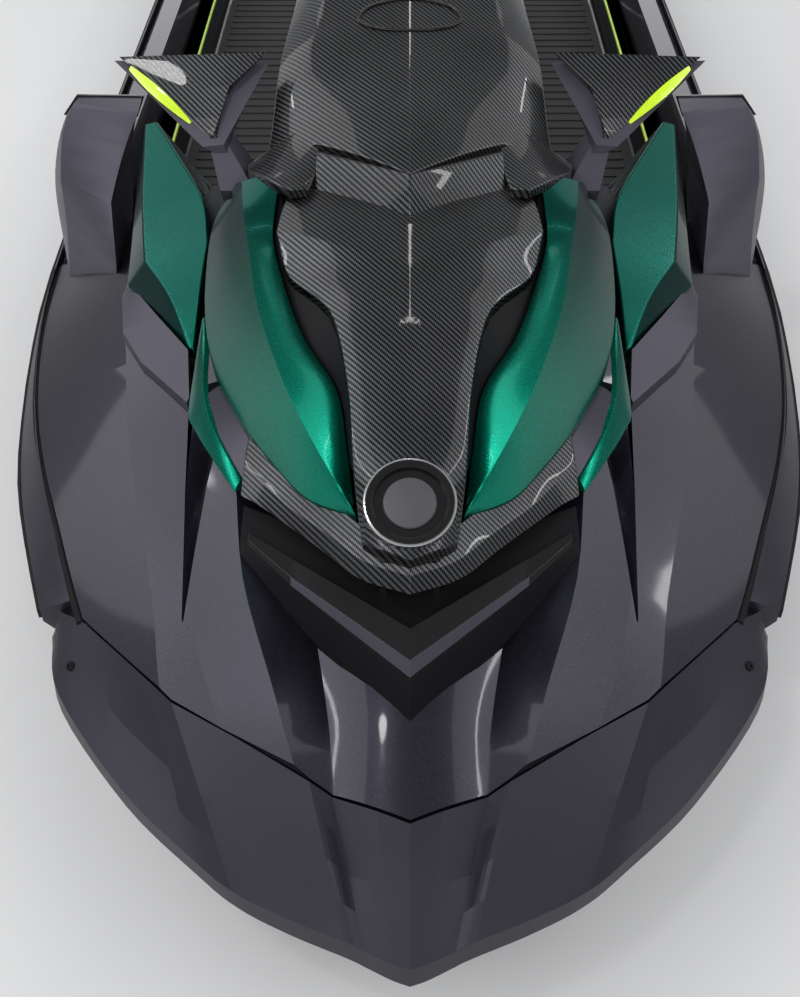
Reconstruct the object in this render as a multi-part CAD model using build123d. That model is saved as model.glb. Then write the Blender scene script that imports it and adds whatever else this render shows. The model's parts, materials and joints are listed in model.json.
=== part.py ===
"""Personal watercraft, full size, built as named pieces in millimetres.

Frame: +Z up, bow towards -Y, port side +X. The origin is on the centreline at
mid-length, on the waterline. Offsets are given as (s, x, z): distance behind
the bow, half-breadth and height above the waterline.
"""
from build123d import *
from math import cos, radians, sin
import os

# ---------------------------------------------------------------- driving sizes
LENGTH = 3318            # bow lip to boarding step
DRAFT = 280              # keel below the waterline
BOND_Z = 190             # flange where hull and deck meet
TUB_Z = 60               # underside of the deck's footwell tubs
TUB_HALF = 505           # half-width of the tubs below the flange
FOREDECK_END = 1105      # where the foredeck ends and the footwells begin
TRANSOM_S = 3255         # hull's transom
DECK_END = 3276          # aft edge of the swim platform
PANEL = 18               # thickness of the hood's panels
LINER = 8                # thickness of the moulding under the cowl
SEAM = 2                 # gap between neighbouring fixed panels
FIT = 0.3                # gap at a running or seated fit

PUMP_Z = -120            # height of the jet drive's axis
PUMP_S = 2760            # front face of the pump
PUMP_BORE = 80           # radius inside the pump housing
PUMP_WALL = 9
PUMP_LENGTH = 150
VENTURI_LENGTH = 150
VENTURI_EXIT = 50        # inner radius at the venturi's exit
TUNNEL_HALF = 165
TUNNEL_TOP = 45
SHAFT_RADIUS = 14
HUB_RADIUS = 30
BLADE_GAP = 5            # between the blades' tips and the bore
BLADE_COUNT = 4

JET_PIVOT_S = 3075       # nozzle and bucket pivots
NOZZLE_INNER = 86
NOZZLE_WALL = 6
EAR_GAP = 4.5            # between the nozzle and the ears that carry it
EAR_WALL = 7
NOZZLE_LEAD = 24         # front edge of the nozzle ahead of its pivot
NOZZLE_EXIT = 50
NOZZLE_LENGTH = 145
PIVOT_RADIUS = 7
BUCKET_RADIUS = 140
BUCKET_WALL = 6
BUCKET_HALF = 116
BUCKET_SPAN = (42, 115)  # degrees above the aft horizontal

ENGINE_S = 1520
ENGINE_WIDTH = 380
ENGINE_LENGTH = 600
ENGINE_Z = (-150, 140)

BIN_S = (600, 950)       # front bin's outside
BIN_HALF = 165
BIN_Z = (40, 400)
BIN_WALL = 5

HINGE_S = 380            # hood hinge axis
HINGE_Z = 352
HINGE_PIN = 6
HINGE_X = 40

COLUMN_TILT = 30         # steering column's lean towards the rider, degrees
COLUMN_S = 1318
COLUMN_Z = 652
COLUMN_LENGTH = 140
COLUMN_RADIUS = 20
BAR_RADIUS = 11
GRIP_RADIUS = 17
GRIP_LENGTH = 125
BAR_HALF = 385

LID_S = (1470, 1612)     # glove box lid
LID_HALF = 62
LID_BOTTOM = 562
LID_HINGE_Z = 584
LID_KNUCKLE = 10
LID_PIN = 3

BOW_Y = -LENGTH / 2


# ---------------------------------------------------------------- small helpers
def at(s, x, z):
    """Point at distance s behind the bow, half-breadth x and height z."""
    return Vector(x, BOW_Y + s, z)


SPANS = 3                # pieces that a curve is cut into between two rows


def fair(rows, spans=SPANS, creases=()):
    """Rows of numbers with more put between them along curves that don't overshoot.

    The curves break at the rows named as creases.
    """
    if creases:
        first, *others = creases
        return (fair(rows[:first + 1], spans)[:-1]
                + fair(rows[first:], spans, [crease - first for crease in others]))
    last = len(rows) - 1

    def slope(i, k):
        before = rows[i][k] - rows[i - 1][k] if i else None
        after = rows[i + 1][k] - rows[i][k] if i < last else None
        if before is None or after is None:
            return after if before is None else before
        if before * after <= 0:
            return 0
        steepest = 3 * min(abs(before), abs(after))
        return max(-steepest, min(steepest, (before + after) / 2))

    faired = []
    for i in range(last):
        for step in range(spans):
            t = step / spans
            faired.append(tuple(
                (1 - t) ** 2 * (1 + 2 * t) * a + t * t * (3 - 2 * t) * b
                + t * (1 - t) ** 2 * slope(i, k) - t * t * (1 - t) * slope(i + 1, k)
                for k, (a, b) in enumerate(zip(rows[i], rows[i + 1]))))
    return faired + [tuple(rows[last])]


def between(rows, value):
    """The row at a value of the first column, straight from each row to the next."""
    for low, high in zip(rows, rows[1:]):
        if value <= high[0] or high is rows[-1]:
            t = (value - low[0]) / (high[0] - low[0])
            return [a + t * (b - a) for a, b in zip(low, high)]


def ring(s, half):
    """Closed section across the craft from its port half, bottom to top centre."""
    port = [at(s, x, z) for x, z in half]
    starboard = [at(s, -x, z) for x, z in reversed(half) if x > 0]
    return Wire.make_polygon(port + starboard)


def skin(wires):
    """Solid lofted through closed wires, straight from each to the next."""
    return Solid.make_loft(wires, True)


def band(edges, thick, lower=0, spans=SPANS, creases=()):
    """Panel over two or more edges of (s, x, z) points, lowered, with two flat ends.

    Its thickness is a shift given as (s, x, z).
    """
    shift = Vector(thick[1], thick[0], thick[2])
    faired = [fair(edge, spans, creases) for edge in edges]
    rows = [[at(s, x, z - lower) for s, x, z in points] for points in zip(*faired)]
    for row in (rows[0], rows[-1]):
        normal = (row[-1] - row[0]).cross(shift)
        for i, point in enumerate(row[1:-1], start=1):
            off = normal.dot(point - row[0])
            if abs(normal.X) > abs(normal.Y):
                row[i] = point - Vector(off / normal.X, 0, 0)
            else:
                row[i] = point - Vector(0, off / normal.Y, 0)
    return skin([Wire.make_polygon(row + [point + shift for point in reversed(row)]) for row in rows])


def panel(edges, depth, lower=0, spans=SPANS, creases=()):
    """Panel over edges, its thickness straight down."""
    return band(edges, (0, 0, -depth), lower, spans, creases)


def mirrored(shape):
    """The starboard twin of a port piece."""
    return shape.mirror(Plane.YZ)


def both(shape):
    """A port piece and its starboard twin, apart, in one node."""
    return Compound([*shape.solids(), *mirrored(shape).solids()])


def whole(half):
    """A port half joined to its starboard twin on the centreline."""
    return half + mirrored(half)


def largest(shape):
    """The main solid of a cut shape, without crumbs."""
    return max(shape.solids(), key=lambda solid: solid.volume)


def box(s, x, z):
    """Box between pairs of s, x and z limits."""
    lo, hi = at(s[0], x[0], z[0]), at(s[1], x[1], z[1])
    size, centre = hi - lo, (lo + hi) / 2
    return Pos(centre.X, centre.Y, centre.Z) * Box(abs(size.X), abs(size.Y), abs(size.Z))


def rod(start, end, radius):
    """Cylinder from one point to another."""
    axis = end - start
    return Solid.make_cylinder(radius, axis.length, Plane(origin=start, z_dir=axis))


def cone(start, end, radius_a, radius_b):
    """Cone from one point to another."""
    axis = end - start
    return Solid.make_cone(radius_a, radius_b, axis.length, Plane(origin=start, z_dir=axis))


def across(s, x, z, radius, length):
    """Cylinder along X, centred on a point."""
    return rod(at(s, x - length / 2, z), at(s, x + length / 2, z), radius)


def tube(points, radius, bend):
    """Round bar along runs joined by arcs of one bend radius."""
    path = FilletPolyline(*points, radius=bend)
    start = Plane(origin=path @ 0, z_dir=path % 0)
    return sweep(start * Circle(radius), path=path).solid()


# ---------------------------------------------------------------- hull
# s, keel z, chine x, chine z, flange x
HULL = [
    (26, 118, 14, 138, 30),
    (90, 52, 92, 120, 168),
    (200, -40, 165, 92, 292),
    (400, -142, 268, 50, 405),
    (700, -222, 378, 0, 520),
    (1050, -266, 452, -48, 580),
    (1500, -DRAFT, 490, -74, 597),
    (2200, -DRAFT, 500, -80, 597),
    (2900, -DRAFT, 498, -80, 585),
    (TRANSOM_S, -DRAFT, 488, -78, 552),
]


def hull_section(keel, chine_x, chine_z, flange_x):
    """Half section: keel, lifting strake, chine flat, topsides and flange."""
    rise = chine_z - keel
    return [
        (0, keel),
        (0.46 * chine_x, keel + 0.44 * rise),
        (0.53 * chine_x, keel + 0.45 * rise),
        (0.92 * chine_x, chine_z - 0.04 * rise),
        (chine_x, chine_z),
        (0.4 * chine_x + 0.6 * flange_x, chine_z + 0.5 * (BOND_Z - chine_z)),
        (flange_x, BOND_Z),
        (0, BOND_Z),
    ]


def hull_blank():
    return skin([ring(s, hull_section(*row)) for s, *row in fair(HULL)])


def intake_duct():
    """Duct from the mouth in the bottom to the pump's face."""
    mouth = Wire.make_polygon([at(s, x, -DRAFT - 5) for s, x in
                               ((2260, -95), (2260, 95), (2640, 95), (2640, -95))])
    throat = Wire.make_polygon([at(PUMP_S, x, PUMP_Z + z) for x, z in
                                ((-68, 60), (68, 60), (68, -60), (-68, -60))])
    return skin([mouth, throat])


def shaft_bore():
    return rod(at(ENGINE_S + ENGINE_LENGTH, 0, PUMP_Z), at(PUMP_S + 5, 0, PUMP_Z), SHAFT_RADIUS + 1)


def engine_block():
    half = ENGINE_WIDTH / 2
    return box((ENGINE_S, ENGINE_S + ENGINE_LENGTH), (-half, half), ENGINE_Z)


def bin_outside():
    return box(BIN_S, (-BIN_HALF, BIN_HALF), BIN_Z)


def hull():
    tunnel = box((PUMP_S, TRANSOM_S + 10), (-TUNNEL_HALF, TUNNEL_HALF), (-DRAFT - 20, TUNNEL_TOP))
    tub = box((FOREDECK_END, TRANSOM_S + 10), (-TUB_HALF, TUB_HALF), (TUB_Z, BOND_Z + 10))
    return (hull_blank() - tub - tunnel - intake_duct() - shaft_bore() - engine_block()
            - bin_outside())


# ---------------------------------------------------------------- deck
# s, flange x, then x and z of shoulder, outer crease, blade valley, ridge, channel; centre z
FOREDECK = [
    (60, 96, 88, 206, 78, 222, 70, 230, 58, 240, 40, 226, 236),
    (139, 221, 205, 212, 168, 230, 140, 240, 100, 258, 76, 236, 252),
    (200, 290, 272, 220, 222, 242, 180, 254, 126, 280, 84, 248, 268),
    (270, 336, 330, 226, 277, 258, 222, 268, 150, 299, 94, 262, 286),
    (400, 408, 402, 230, 308, 274, 262, 288, 194, 321, 120, 286, 308),
    (546, 470, 464, 243, 350, 290, 276, 308, 218, 330, 150, 312, 324),
    (650, 511, 507, 245, 378, 301, 292, 322, 238, 344, 170, 332, 338),
    (771, 549, 545, 245, 400, 315, 322, 342, 268, 360, 200, 350, 354),
    (941, 586, 578, 240, 430, 328, 360, 352, 290, 368, 210, 370, 372),
    (FOREDECK_END, 600, 597, 232, 440, 330, 400, 372, 300, 390, 220, 400, 402),
]


def foredeck_line(points, centre):
    """Half section of the foredeck's surface from shoulder to centre, its channel crowned."""
    pairs = list(zip(points[::2], points[1::2]))
    channel_x, channel_z = pairs[-1]
    return [*pairs, (0.45 * channel_x, channel_z + 0.82 * (centre - channel_z)), (0, centre)]


def deck_height(s, x):
    """Height of the foredeck's surface."""
    _, _, *points, centre = between(fair(FOREDECK), s)
    return between(foredeck_line(points, centre)[::-1], x)[1]


# s, outer and inner edge, and depth of the wedge-shaped recess outside the raised plate
RECESS = [
    (366, 267, 265, 5),
    (450, 275, 261, 14),
    (545, 285, 256, 20),
    (700, 298, 236, 24),
]
RECESS_LIP = 3           # upright edge round the recess


def deck_recess():
    """The recess to port: a floor that falls inwards to the raised plate's edge."""
    wires = []
    for s, outer, inner, deep in RECESS:
        foot = 0.3 * outer + 0.7 * inner
        outer_z, inner_z = deck_height(s, outer), deck_height(s, inner)
        top = max(outer_z, inner_z) + 40
        wires.append(Wire.make_polygon([at(s, x, z) for x, z in (
            (outer, top), (outer, outer_z - RECESS_LIP), (foot, deck_height(s, foot) - deep),
            (inner, inner_z - RECESS_LIP), (inner, top))]))
    return skin(wires)


def foredeck():
    wires = []
    for s, flange, *points, centre in fair(FOREDECK):
        wires.append(ring(s, [(0, BOND_Z), (flange, BOND_Z), *foredeck_line(points, centre)]))
    recess = deck_recess()
    return skin(wires) - recess - mirrored(recess)


# s, flange x, gunwale inner x, footwell outer x, footwell z, footwell inner x, saddle x, saddle z
WAIST = [
    (FOREDECK_END, 600, 540, 500, 96, 262, 150, 432),
    (1500, 600, 540, 495, 92, 265, 140, 436),
    (2100, 600, 536, 490, 92, 268, 145, 440),
    (2640, 596, 530, 486, 96, 262, 150, 440),
]
AFT = [
    WAIST[-1],
    (2860, 590, 524, 480, 196, 250, 200, 214),
    (3120, 576, 512, 470, 202, 240, 190, 210),
    (DECK_END, 545, 490, 450, 204, 230, 180, 209),
]
GUNWALE_Z = 250


def footwell_section(flange, inner, outer_x, floor, inner_x, saddle_x, saddle_z):
    """Half section: tub, flange, gunwale, footwell and seat saddle."""
    return [
        (0, TUB_Z), (TUB_HALF, TUB_Z), (TUB_HALF, BOND_Z), (flange, BOND_Z),
        (flange - 4, 228), (flange - 22, GUNWALE_Z), (inner, GUNWALE_Z),
        (outer_x, floor), (inner_x, floor),
        (0.5 * (inner_x + saddle_x) - 10, floor + 0.25 * (saddle_z - floor)),
        (saddle_x, saddle_z), (0, saddle_z),
    ]


def tub_part(rows, spans):
    return skin([ring(s, footwell_section(*row)) for s, *row in fair(rows, spans)])


SEAM_LINE = [(139, 0), (180, 107), (274, 268), (402, 404), (440, 480)]


def bow_prism(gap):
    """Everything ahead of the seam between bumper and foredeck."""
    port = [(s - gap, x) for s, x in SEAM_LINE]
    starboard = [(s, -x) for s, x in reversed(port[1:])]
    face = make_face(Wire.make_polygon(
        [at(s, x, BOND_Z - 60) for s, x in [(-60, -700), (-60, 700), *reversed(port[1:]), port[0]]
         + list(reversed(starboard))]))
    return extrude(face, 260, dir=(0, 0, 1))


ANCHOR_AT = (3010, 210, 216)     # accessory anchors on the platform
ANCHOR_BORE = 14
ANCHOR_BODY = 22
ANCHOR_DEPTH = 40


def lid_hinge(radius, length):
    return across(LID_S[0] + LID_KNUCKLE + SEAM, 0, LID_HINGE_Z, radius, length)


def glove_cavity():
    opening = box(LID_S, (-LID_HALF, LID_HALF), (470, 700))
    return (opening + lid_hinge(LID_KNUCKLE + SEAM, 2 * LID_HALF)
            + lid_hinge(LID_PIN + FIT, 2 * LID_HALF + 16))


def deck():
    anchors = both(rod(at(ANCHOR_AT[0], ANCHOR_AT[1], ANCHOR_AT[2] - ANCHOR_DEPTH),
                       at(ANCHOR_AT[0], ANCHOR_AT[1], 260), ANCHOR_BODY))
    body = foredeck() + tub_part(WAIST, 2) + tub_part(AFT, 1)
    return body - bow_prism(0) - engine_block() - bin_outside() - anchors


def anchor_sockets():
    s, x, z = ANCHOR_AT
    low = z - ANCHOR_DEPTH
    body = rod(at(s, x, low), at(s, x, z), ANCHOR_BODY)
    return both(body - rod(at(s, x, low + 4), at(s, x, z), ANCHOR_BORE))


# ---------------------------------------------------------------- bumper and rail
# seam s and x, lip s, x and z, swell half-way between; creases lie along the rows
BUMPER = [
    (137, 0, 8, 0, 202, 1),
    (150, 34, 14, 19, 201, -3),
    (169, 83, 26, 46, 199, -7),
    (178, 107, 34, 66, 202, 5),
    (226, 188, 58, 128, 199, 1),
    (272, 268, 86, 187, 196, 6),
    (302, 300, 122, 236, 194, -5),
    (346, 346, 202, 328, 190, -5),
    (400, 404, 324, 428, 185, 0),
    (428, 450, 404, 454, 185, 0),
]
LIP_DEEP = 32            # height of the lip's band
LIP_OUT = 8              # how far its lower edge stands out
LIP_WALL = 24
BUMPER_FLOOR = 183       # underside behind the lip


def front_bumper():
    wires = []
    up = Vector(0, 0, 1)
    for s, x, lip_s, lip_x, lip_z, swell in BUMPER:
        seam, lip = at(s, x, 0), at(lip_s, lip_x, 0)
        seam_z = deck_height(min(s + SEAM, FOREDECK_END), x)
        inward = (seam - lip).normalized()
        wires.append(Wire.make_polygon([
            seam + up * seam_z,
            (seam + lip) / 2 + up * ((seam_z + lip_z) / 2 + swell),
            lip + up * lip_z,
            lip - inward * LIP_OUT + up * (lip_z - LIP_DEEP),
            lip + inward * LIP_WALL + up * (lip_z - LIP_DEEP),
            lip + inward * LIP_WALL + up * BUMPER_FLOOR,
            seam + up * BUMPER_FLOOR]))
    return whole(skin(wires))


# s, outer x, inner x, inner z
RAIL = [
    (432, 474, 422, 228),
    (546, 520, 472, 243),
    (650, 556, 513, 246),
    (771, 582, 551, 246),
    (941, 608, 584, 242),
    (1131, 624, 602, 236),
    (1500, 627.5, 602, 234),
    (2200, 626, 602, 234),
    (2800, 616, 592, 234),
    (3120, 596, 573, 232),
    (3284, 562, 540, 232),
]


def rub_rail():
    wires = [Wire.make_polygon([
        at(s, outer - 10, 160), at(s, outer, 178), at(s, outer - 3, 204), at(s, inner, z),
        at(s, outer - 40, 160)])
        for s, outer, inner, z in fair(RAIL, 2)]
    return skin(wires)


# ---------------------------------------------------------------- hood, port edges (s, x, z)
SPINE_C = [(352, 0, 420), (412, 0, 438), (470, 0, 459), (560, 0, 490), (640, 0, 519),
           (676, 0, 530), (702, 0, 537), (760, 0, 550), (830, 0, 560)]
SPINE_M = [(366, 30, 417), (418, 32, 434), (470, 36, 456), (560, 42, 489), (644, 56, 516),
           (698, 84, 524), (738, 90, 541), (784, 86, 550), (842, 84, 558)]
SPINE_E = [(385, 52, 404), (425, 58, 412), (470, 64, 444), (560, 72, 480), (655, 96, 506),
           (718, 148, 506), (775, 166, 532), (812, 160, 542), (856, 148, 552)]
SPINE_CREASE = 6         # row of the V crease across the spine
FLANK_E = [(400, 56, 392), (440, 62, 400), (500, 72, 432), (570, 86, 458),
           (640, 128, 478), (724, 158, 500), (785, 172, 526), (856, 166, 560)]
FLANK_K = [(428, 64, 402), (468, 93, 438), (515, 123, 466), (575, 151, 485),
           (662, 181, 505), (742, 197, 524), (810, 210, 535), (868, 218, 543)]
FLANK_F = [(430, 72, 392), (462, 116, 388), (505, 152, 386), (590, 210, 390),
           (680, 254, 406), (775, 268, 446), (850, 262, 486), (892, 238, 516)]
VENT_ROWS = (2, 7)       # first and last row of the edges between which the vents lie
VENT_DROP = 12           # vent floors lie this far below the panels beside them
COWL_C = [(806, 0, 592), (900, 0, 622), (1035, 0, 660), (1093, 0, 678), (1160, 0, 702), (1225, 0, 722)]
COWL_M = [(890, 118, 584), (940, 124, 602), (1020, 128, 640), (1075, 118, 660), (1150, 112, 688), (1225, 108, 708)]
COWL_O = [(906, 190, 548), (950, 184, 566), (1022, 176, 612), (1080, 168, 632), (1150, 162, 640), (1225, 158, 648)]
COWL_S = [(906, 196, 452), (950, 192, 440), (1022, 188, 430), (1080, 186, 430), (1150, 184, 446), (1225, 182, 452)]
STEP_EDGE = [(806, 0, 592), (837, 59, 588), (868, 118, 584)]
STEP_FOOT = [(776, 0, 552), (802, 60, 551), (830, 122, 550)]
LEG_INNER = [(822, 126, 561), (850, 119, 569), (889, 116, 582), (930, 120, 597)]
LEG_OUTER = [(817, 149, 563), (845, 182, 561), (880, 208, 551), (912, 216, 540)]
LEG_DEEP = 14


def hood_spine():
    return whole(panel([SPINE_C, SPINE_M, SPINE_E], PANEL, creases=[SPINE_CREASE]))


def vent_floor():
    edges = [fair(SPINE_E, creases=[SPINE_CREASE]), fair(FLANK_E)]
    first, last = (SPANS * row for row in VENT_ROWS)
    return panel([edge[first:last + 1] for edge in edges], PANEL - VENT_DROP, VENT_DROP, spans=1)


def hood_flank():
    return panel([FLANK_E, FLANK_K, FLANK_F], PANEL)


def hood_cowl():
    return whole(panel([COWL_C, COWL_M, COWL_O], PANEL))


def cowl_step():
    """V-shaped step that carries the cowl's front edge on the spine, and the cowl's two legs."""
    leg = panel([LEG_INNER, LEG_OUTER], LEG_DEEP)
    return whole(band([STEP_FOOT, STEP_EDGE], (44, 0, -16), spans=1)), leg


def cowl_liner():
    """Inner moulding that backs the cowl and closes its sides."""
    return whole(panel([COWL_C, COWL_M, COWL_O], LINER, PANEL)
                 + band([[(s, x, z - PANEL) for s, x, z in COWL_O], COWL_S], (0, -LINER, 0)))


LIP_TOP = [(368, 0, 408), (398, 50, 398), (446, 92, 388), (482, 128, 384), (530, 165, 382), (572, 195, 384)]
LIP_MID = [(345, 0, 400), (374, 53, 391), (420, 97, 382), (462, 141, 375), (502, 174, 371), (532, 200, 370)]
LIP_LOW = [(333, 0, 383), (360, 55, 374), (405, 100, 366), (451, 149, 360), (480, 180, 355), (497, 203, 352)]


def nose_lip():
    return whole(band([LIP_TOP, LIP_MID, LIP_LOW], (14, 0, 2)))


STRIP_TOP = [(522, 206, 352), (560, 229, 364), (600, 250, 380), (644, 262, 392), (692, 264, 408), (738, 267, 426)]
STRIP_LOW = [(509, 213, 345), (560, 246, 350), (600, 271, 357), (630, 283, 363), (690, 277, 395), (738, 271, 422)]


def side_strip():
    return band([STRIP_TOP, STRIP_LOW], (4, -6, -2))


def hood_bracket():
    return band([[(528, 172, 372), (570, 198, 374), (612, 222, 380), (650, 240, 388)],
                 [(518, 200, 352), (556, 223, 362), (596, 244, 376), (636, 255, 388)]], (12, -4, -4))


BADGE_AT = (412, 437)    # s and z of the badge's centre
BADGE_TILT = Vector(0, -22, 60)
BADGE_RADIUS = 50
BADGE_RIM = 9
BADGE_HEIGHT = 12


def nose_badge():
    """Plain round boss: a raised rim around a flat disc."""
    s, z = BADGE_AT
    plane = Plane(origin=at(s, 0, z), z_dir=BADGE_TILT)
    boss = plane * Pos(0, 0, 2) * Cylinder(BADGE_RADIUS, BADGE_HEIGHT)
    return (boss - plane * Pos(0, 0, BADGE_HEIGHT - 1) * Cylinder(BADGE_RADIUS - BADGE_RIM, BADGE_HEIGHT)).solid()


def hinge_arms():
    """Port arm from the hinge up to the spine."""
    profile = ((HINGE_S, HINGE_Z - 8, HINGE_Z + 8), (412, 366, 386), (450, 404, 446))
    arm = skin([Wire.make_polygon([at(s, x, z) for x, z in
                                   ((HINGE_X, low), (HINGE_X + 10, low), (HINGE_X + 10, top), (HINGE_X, top))])
                for s, low, top in profile])
    knuckle = across(HINGE_S, HINGE_X + 5, HINGE_Z, HINGE_PIN + 5, 10)
    return arm + knuckle - across(HINGE_S, HINGE_X, HINGE_Z, HINGE_PIN + FIT, 60)


def hinge_base():
    ear = box((HINGE_S - 10, HINGE_S + 10), (HINGE_X - 14, HINGE_X - 6), (300, HINGE_Z + 9))
    pin = across(HINGE_S, 0, HINGE_Z, HINGE_PIN, 2 * HINGE_X + 24)
    return whole(ear) + pin


# ---------------------------------------------------------------- mirrors (port)
MIRROR_FACE = 1012       # s of the glass
GLASS = 3


def mirror_cap():
    front = Wire.make_polygon([at(926, 262, 570), at(926, 256, 577), at(926, 250, 566)])
    middle = Wire.make_polygon([at(972, 326, 606), at(972, 236, 617), at(972, 256, 570)])
    rear = Wire.make_polygon([at(1010, 382, 638), at(1010, 188, 644), at(1010, 262, 572)])
    return skin([front, middle, rear])


def mirror_housing():
    """Lower shell and the arm that carries it from the hood's flank."""
    front = Wire.make_polygon([at(918, 272, 563), at(918, 244, 566), at(918, 238, 544)])
    rear = Wire.make_polygon([at(MIRROR_FACE, 390, 632), at(MIRROR_FACE, 186, 630), at(MIRROR_FACE, 254, 546)])
    arm = [[(925, 264), (925, 238), (962, 238), (962, 264)],
           [(880, 250), (880, 205), (934, 205), (934, 250)],
           [(905, 250), (905, 196), (938, 196), (938, 250)]]
    return skin([front, rear]) + skin([Wire.make_polygon([at(s, x, z) for s, x in ring])
                                       for ring, z in zip(arm, (560, 522, 466))])


def mirror_glass():
    outline = [(376, 630), (204, 632), (260, 566)]
    return skin([Wire.make_polygon([at(s, x, z) for x, z in outline])
                 for s in (MIRROR_FACE, MIRROR_FACE + GLASS)])


REFLECTOR = [(944, 288, 583, 2), (962, 312, 599, 7), (980, 336, 612, 8), (1000, 366, 628, 3)]


def mirror_reflector():
    """Leaf-shaped insert along the outer edge."""
    return skin([Wire.make_polygon([at(s - wide, x + wide, z - 1), at(s, x, z + wide), at(s + 4, x - 12, z - 8)])
                 for s, x, z, wide in fair(REFLECTOR, 2)])


# ---------------------------------------------------------------- foredeck pieces
# x, then s and z of the wing's front foot, front edge, rear edge and rear foot
CHIN = [
    (0, 264, 328, 276, 344, 312, 350, 312, 320),
    (64, 320, 328, 329, 341, 360, 345, 360, 322),
    (136, 382, 330, 389, 337, 412, 341, 412, 324),
    (190, 436, 335, 440, 340, 450, 341, 450, 330),
]
# x, then s of its front foot, and s and z of its front and rear edges
TRAY = [
    (0, 238, 262, 326, 452, 332),
    (72, 300, 326, 327, 456, 334),
    (140, 366, 388, 329, 466, 338),
    (200, 430, 446, 334, 492, 340),
]
TRAY_FOOT = 250


def chin_wing():
    return whole(skin([Wire.make_polygon([at(s, x, z) for s, z in zip(points[::2], points[1::2])])
                       for x, *points in CHIN]))


def nose_tray():
    """Black tray under the nose, between the foredeck and the hinge."""
    return whole(skin([Wire.make_polygon([
        at(foot, x, deck_height(foot, x) - 1), at(front, x, front_z), at(rear, x, rear_z),
        at(rear, x, TRAY_FOOT), at(foot, x, TRAY_FOOT - 10)])
        for x, foot, front, front_z, rear, rear_z in TRAY]))


# s, then x and z of the inner foot, inner edge, crease, outer edge and outer foot
CHEEK = [
    (752, 287, 330, 294, 360, 299, 360, 304, 356, 304, 330),
    (820, 276, 340, 287, 406, 332, 394, 356, 364, 356, 330),
    (882, 268, 350, 279, 442, 374, 408, 409, 364, 409, 330),
    (940, 264, 360, 288, 462, 382, 432, 407, 394, 407, 330),
    (989, 268, 370, 311, 474, 386, 456, 405, 422, 405, 330),
    (1094, 300, 380, 374, 503, 391, 499, 402, 480, 402, 340),
]
TRIM_OUTER = [(662, 293, 347), (746, 369, 342), (804, 404, 345), (884, 420, 348)]
TRIM_INNER = [(668, 290, 350), (744, 300, 366), (812, 352, 368), (884, 404, 368)]


def cheek():
    return skin([Wire.make_polygon([at(s, x, z) for x, z in zip(points[::2], points[1::2])])
                 for s, *points in fair(CHEEK, 2, [2])])


def cheek_trim():
    """Dark border along the cheek's lower edge."""
    return panel([TRIM_OUTER, TRIM_INNER], 70, spans=1)


# z, then s and x of the front inner, front outer, rear outer and rear inner corners
SIDE_POD = [
    (236, 968, 470, 1040, 560, 1140, 590, 1140, 480),
    (340, 979, 449, 1085, 548, 1145, 580, 1150, 452),
    (400, 1042, 455, 1100, 545, 1150, 566, 1156, 446),
    (470, 1098, 425, 1135, 532, 1158, 536, 1162, 425),
    (502, 1119, 406, 1148, 508, 1164, 505, 1168, 408),
]


def side_pod():
    return skin([Wire.make_polygon([at(*p, z) for p in zip(points[::2], points[1::2])])
                 for z, *points in fair(SIDE_POD, 2)])


def pod_cap():
    return band([[(1164, 404, 504), (1166, 508, 504)], [(1172, 424, 466), (1170, 538, 470)]], (6, 0, 0))


# ---------------------------------------------------------------- console and seats
# s, half-widths and heights from the saddle up to the centre
CONSOLE = [
    (1240, 170, 436, 150, 560, 110, 622, 640),
    (1300, 172, 436, 150, 570, 105, 632, 650),
    (1350, 168, 436, 146, 572, 100, 628, 644),
    (1450, 155, 438, 134, 545, 90, 590, 598),
    (1624, 142, 438, 122, 530, 90, 566, 572),
]


def console_section(s, low_x, low_z, mid_x, mid_z, top_x, top_z, centre):
    return ring(s, [(0, low_z), (low_x, low_z), (mid_x, mid_z), (top_x, top_z), (0, centre)])


def console():
    body = skin([console_section(*row) for row in fair(CONSOLE, 2)])
    return body - glove_cavity() - column_body()


def glovebox_lid():
    body = skin([console_section(*row) for row in fair(CONSOLE, 2)])
    half = LID_HALF - SEAM
    plate = box((LID_S[0] + LID_KNUCKLE + SEAM, LID_S[1] - SEAM), (-half, half), (LID_BOTTOM, 700))
    return (body & plate) + lid_hinge(LID_KNUCKLE, 2 * half) + lid_hinge(LID_PIN, 2 * LID_HALF + 14)


GAUGE_HALF = 84
GAUGE = [(1244, 630), (1250, 694), (1262, 702), (1290, 664), (1292, 630)]   # s and z of its side


def gauge():
    """Display on the console's front, its face towards the rider."""
    ends = [(GAUGE_HALF, 0.72), (0.9 * GAUGE_HALF, 1), (-0.9 * GAUGE_HALF, 1), (-GAUGE_HALF, 0.72)]
    base = GAUGE[0][1]
    return skin([Wire.make_polygon([at(s, x, base + share * (z - base)) for s, z in GAUGE]) for x, share in ends])


# s, half-width, top
FRONT_SEAT = [(1628, 110, 572), (1740, 128, 542), (1950, 148, 518), (2110, 165, 526), (2220, 168, 562), (2288, 150, 588)]
REAR_SEAT = [(2294, 150, 588), (2400, 165, 572), (2560, 168, 562), (2690, 150, 570), (2740, 126, 560)]
SEAT_BASE = 440.3


def seat(rows):
    wires = []
    for s, half, top in fair(rows, 2):
        rise = top - SEAT_BASE
        wires.append(ring(s, [(0, SEAT_BASE), (0.9 * half, SEAT_BASE), (half, SEAT_BASE + 0.3 * rise),
                              (0.94 * half, SEAT_BASE + 0.72 * rise), (0.62 * half, top - 5), (0, top)]))
    return skin(wires)


# ---------------------------------------------------------------- steering
def column_axis():
    tilt = radians(COLUMN_TILT)
    return Vector(0, sin(tilt), cos(tilt))


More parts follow.
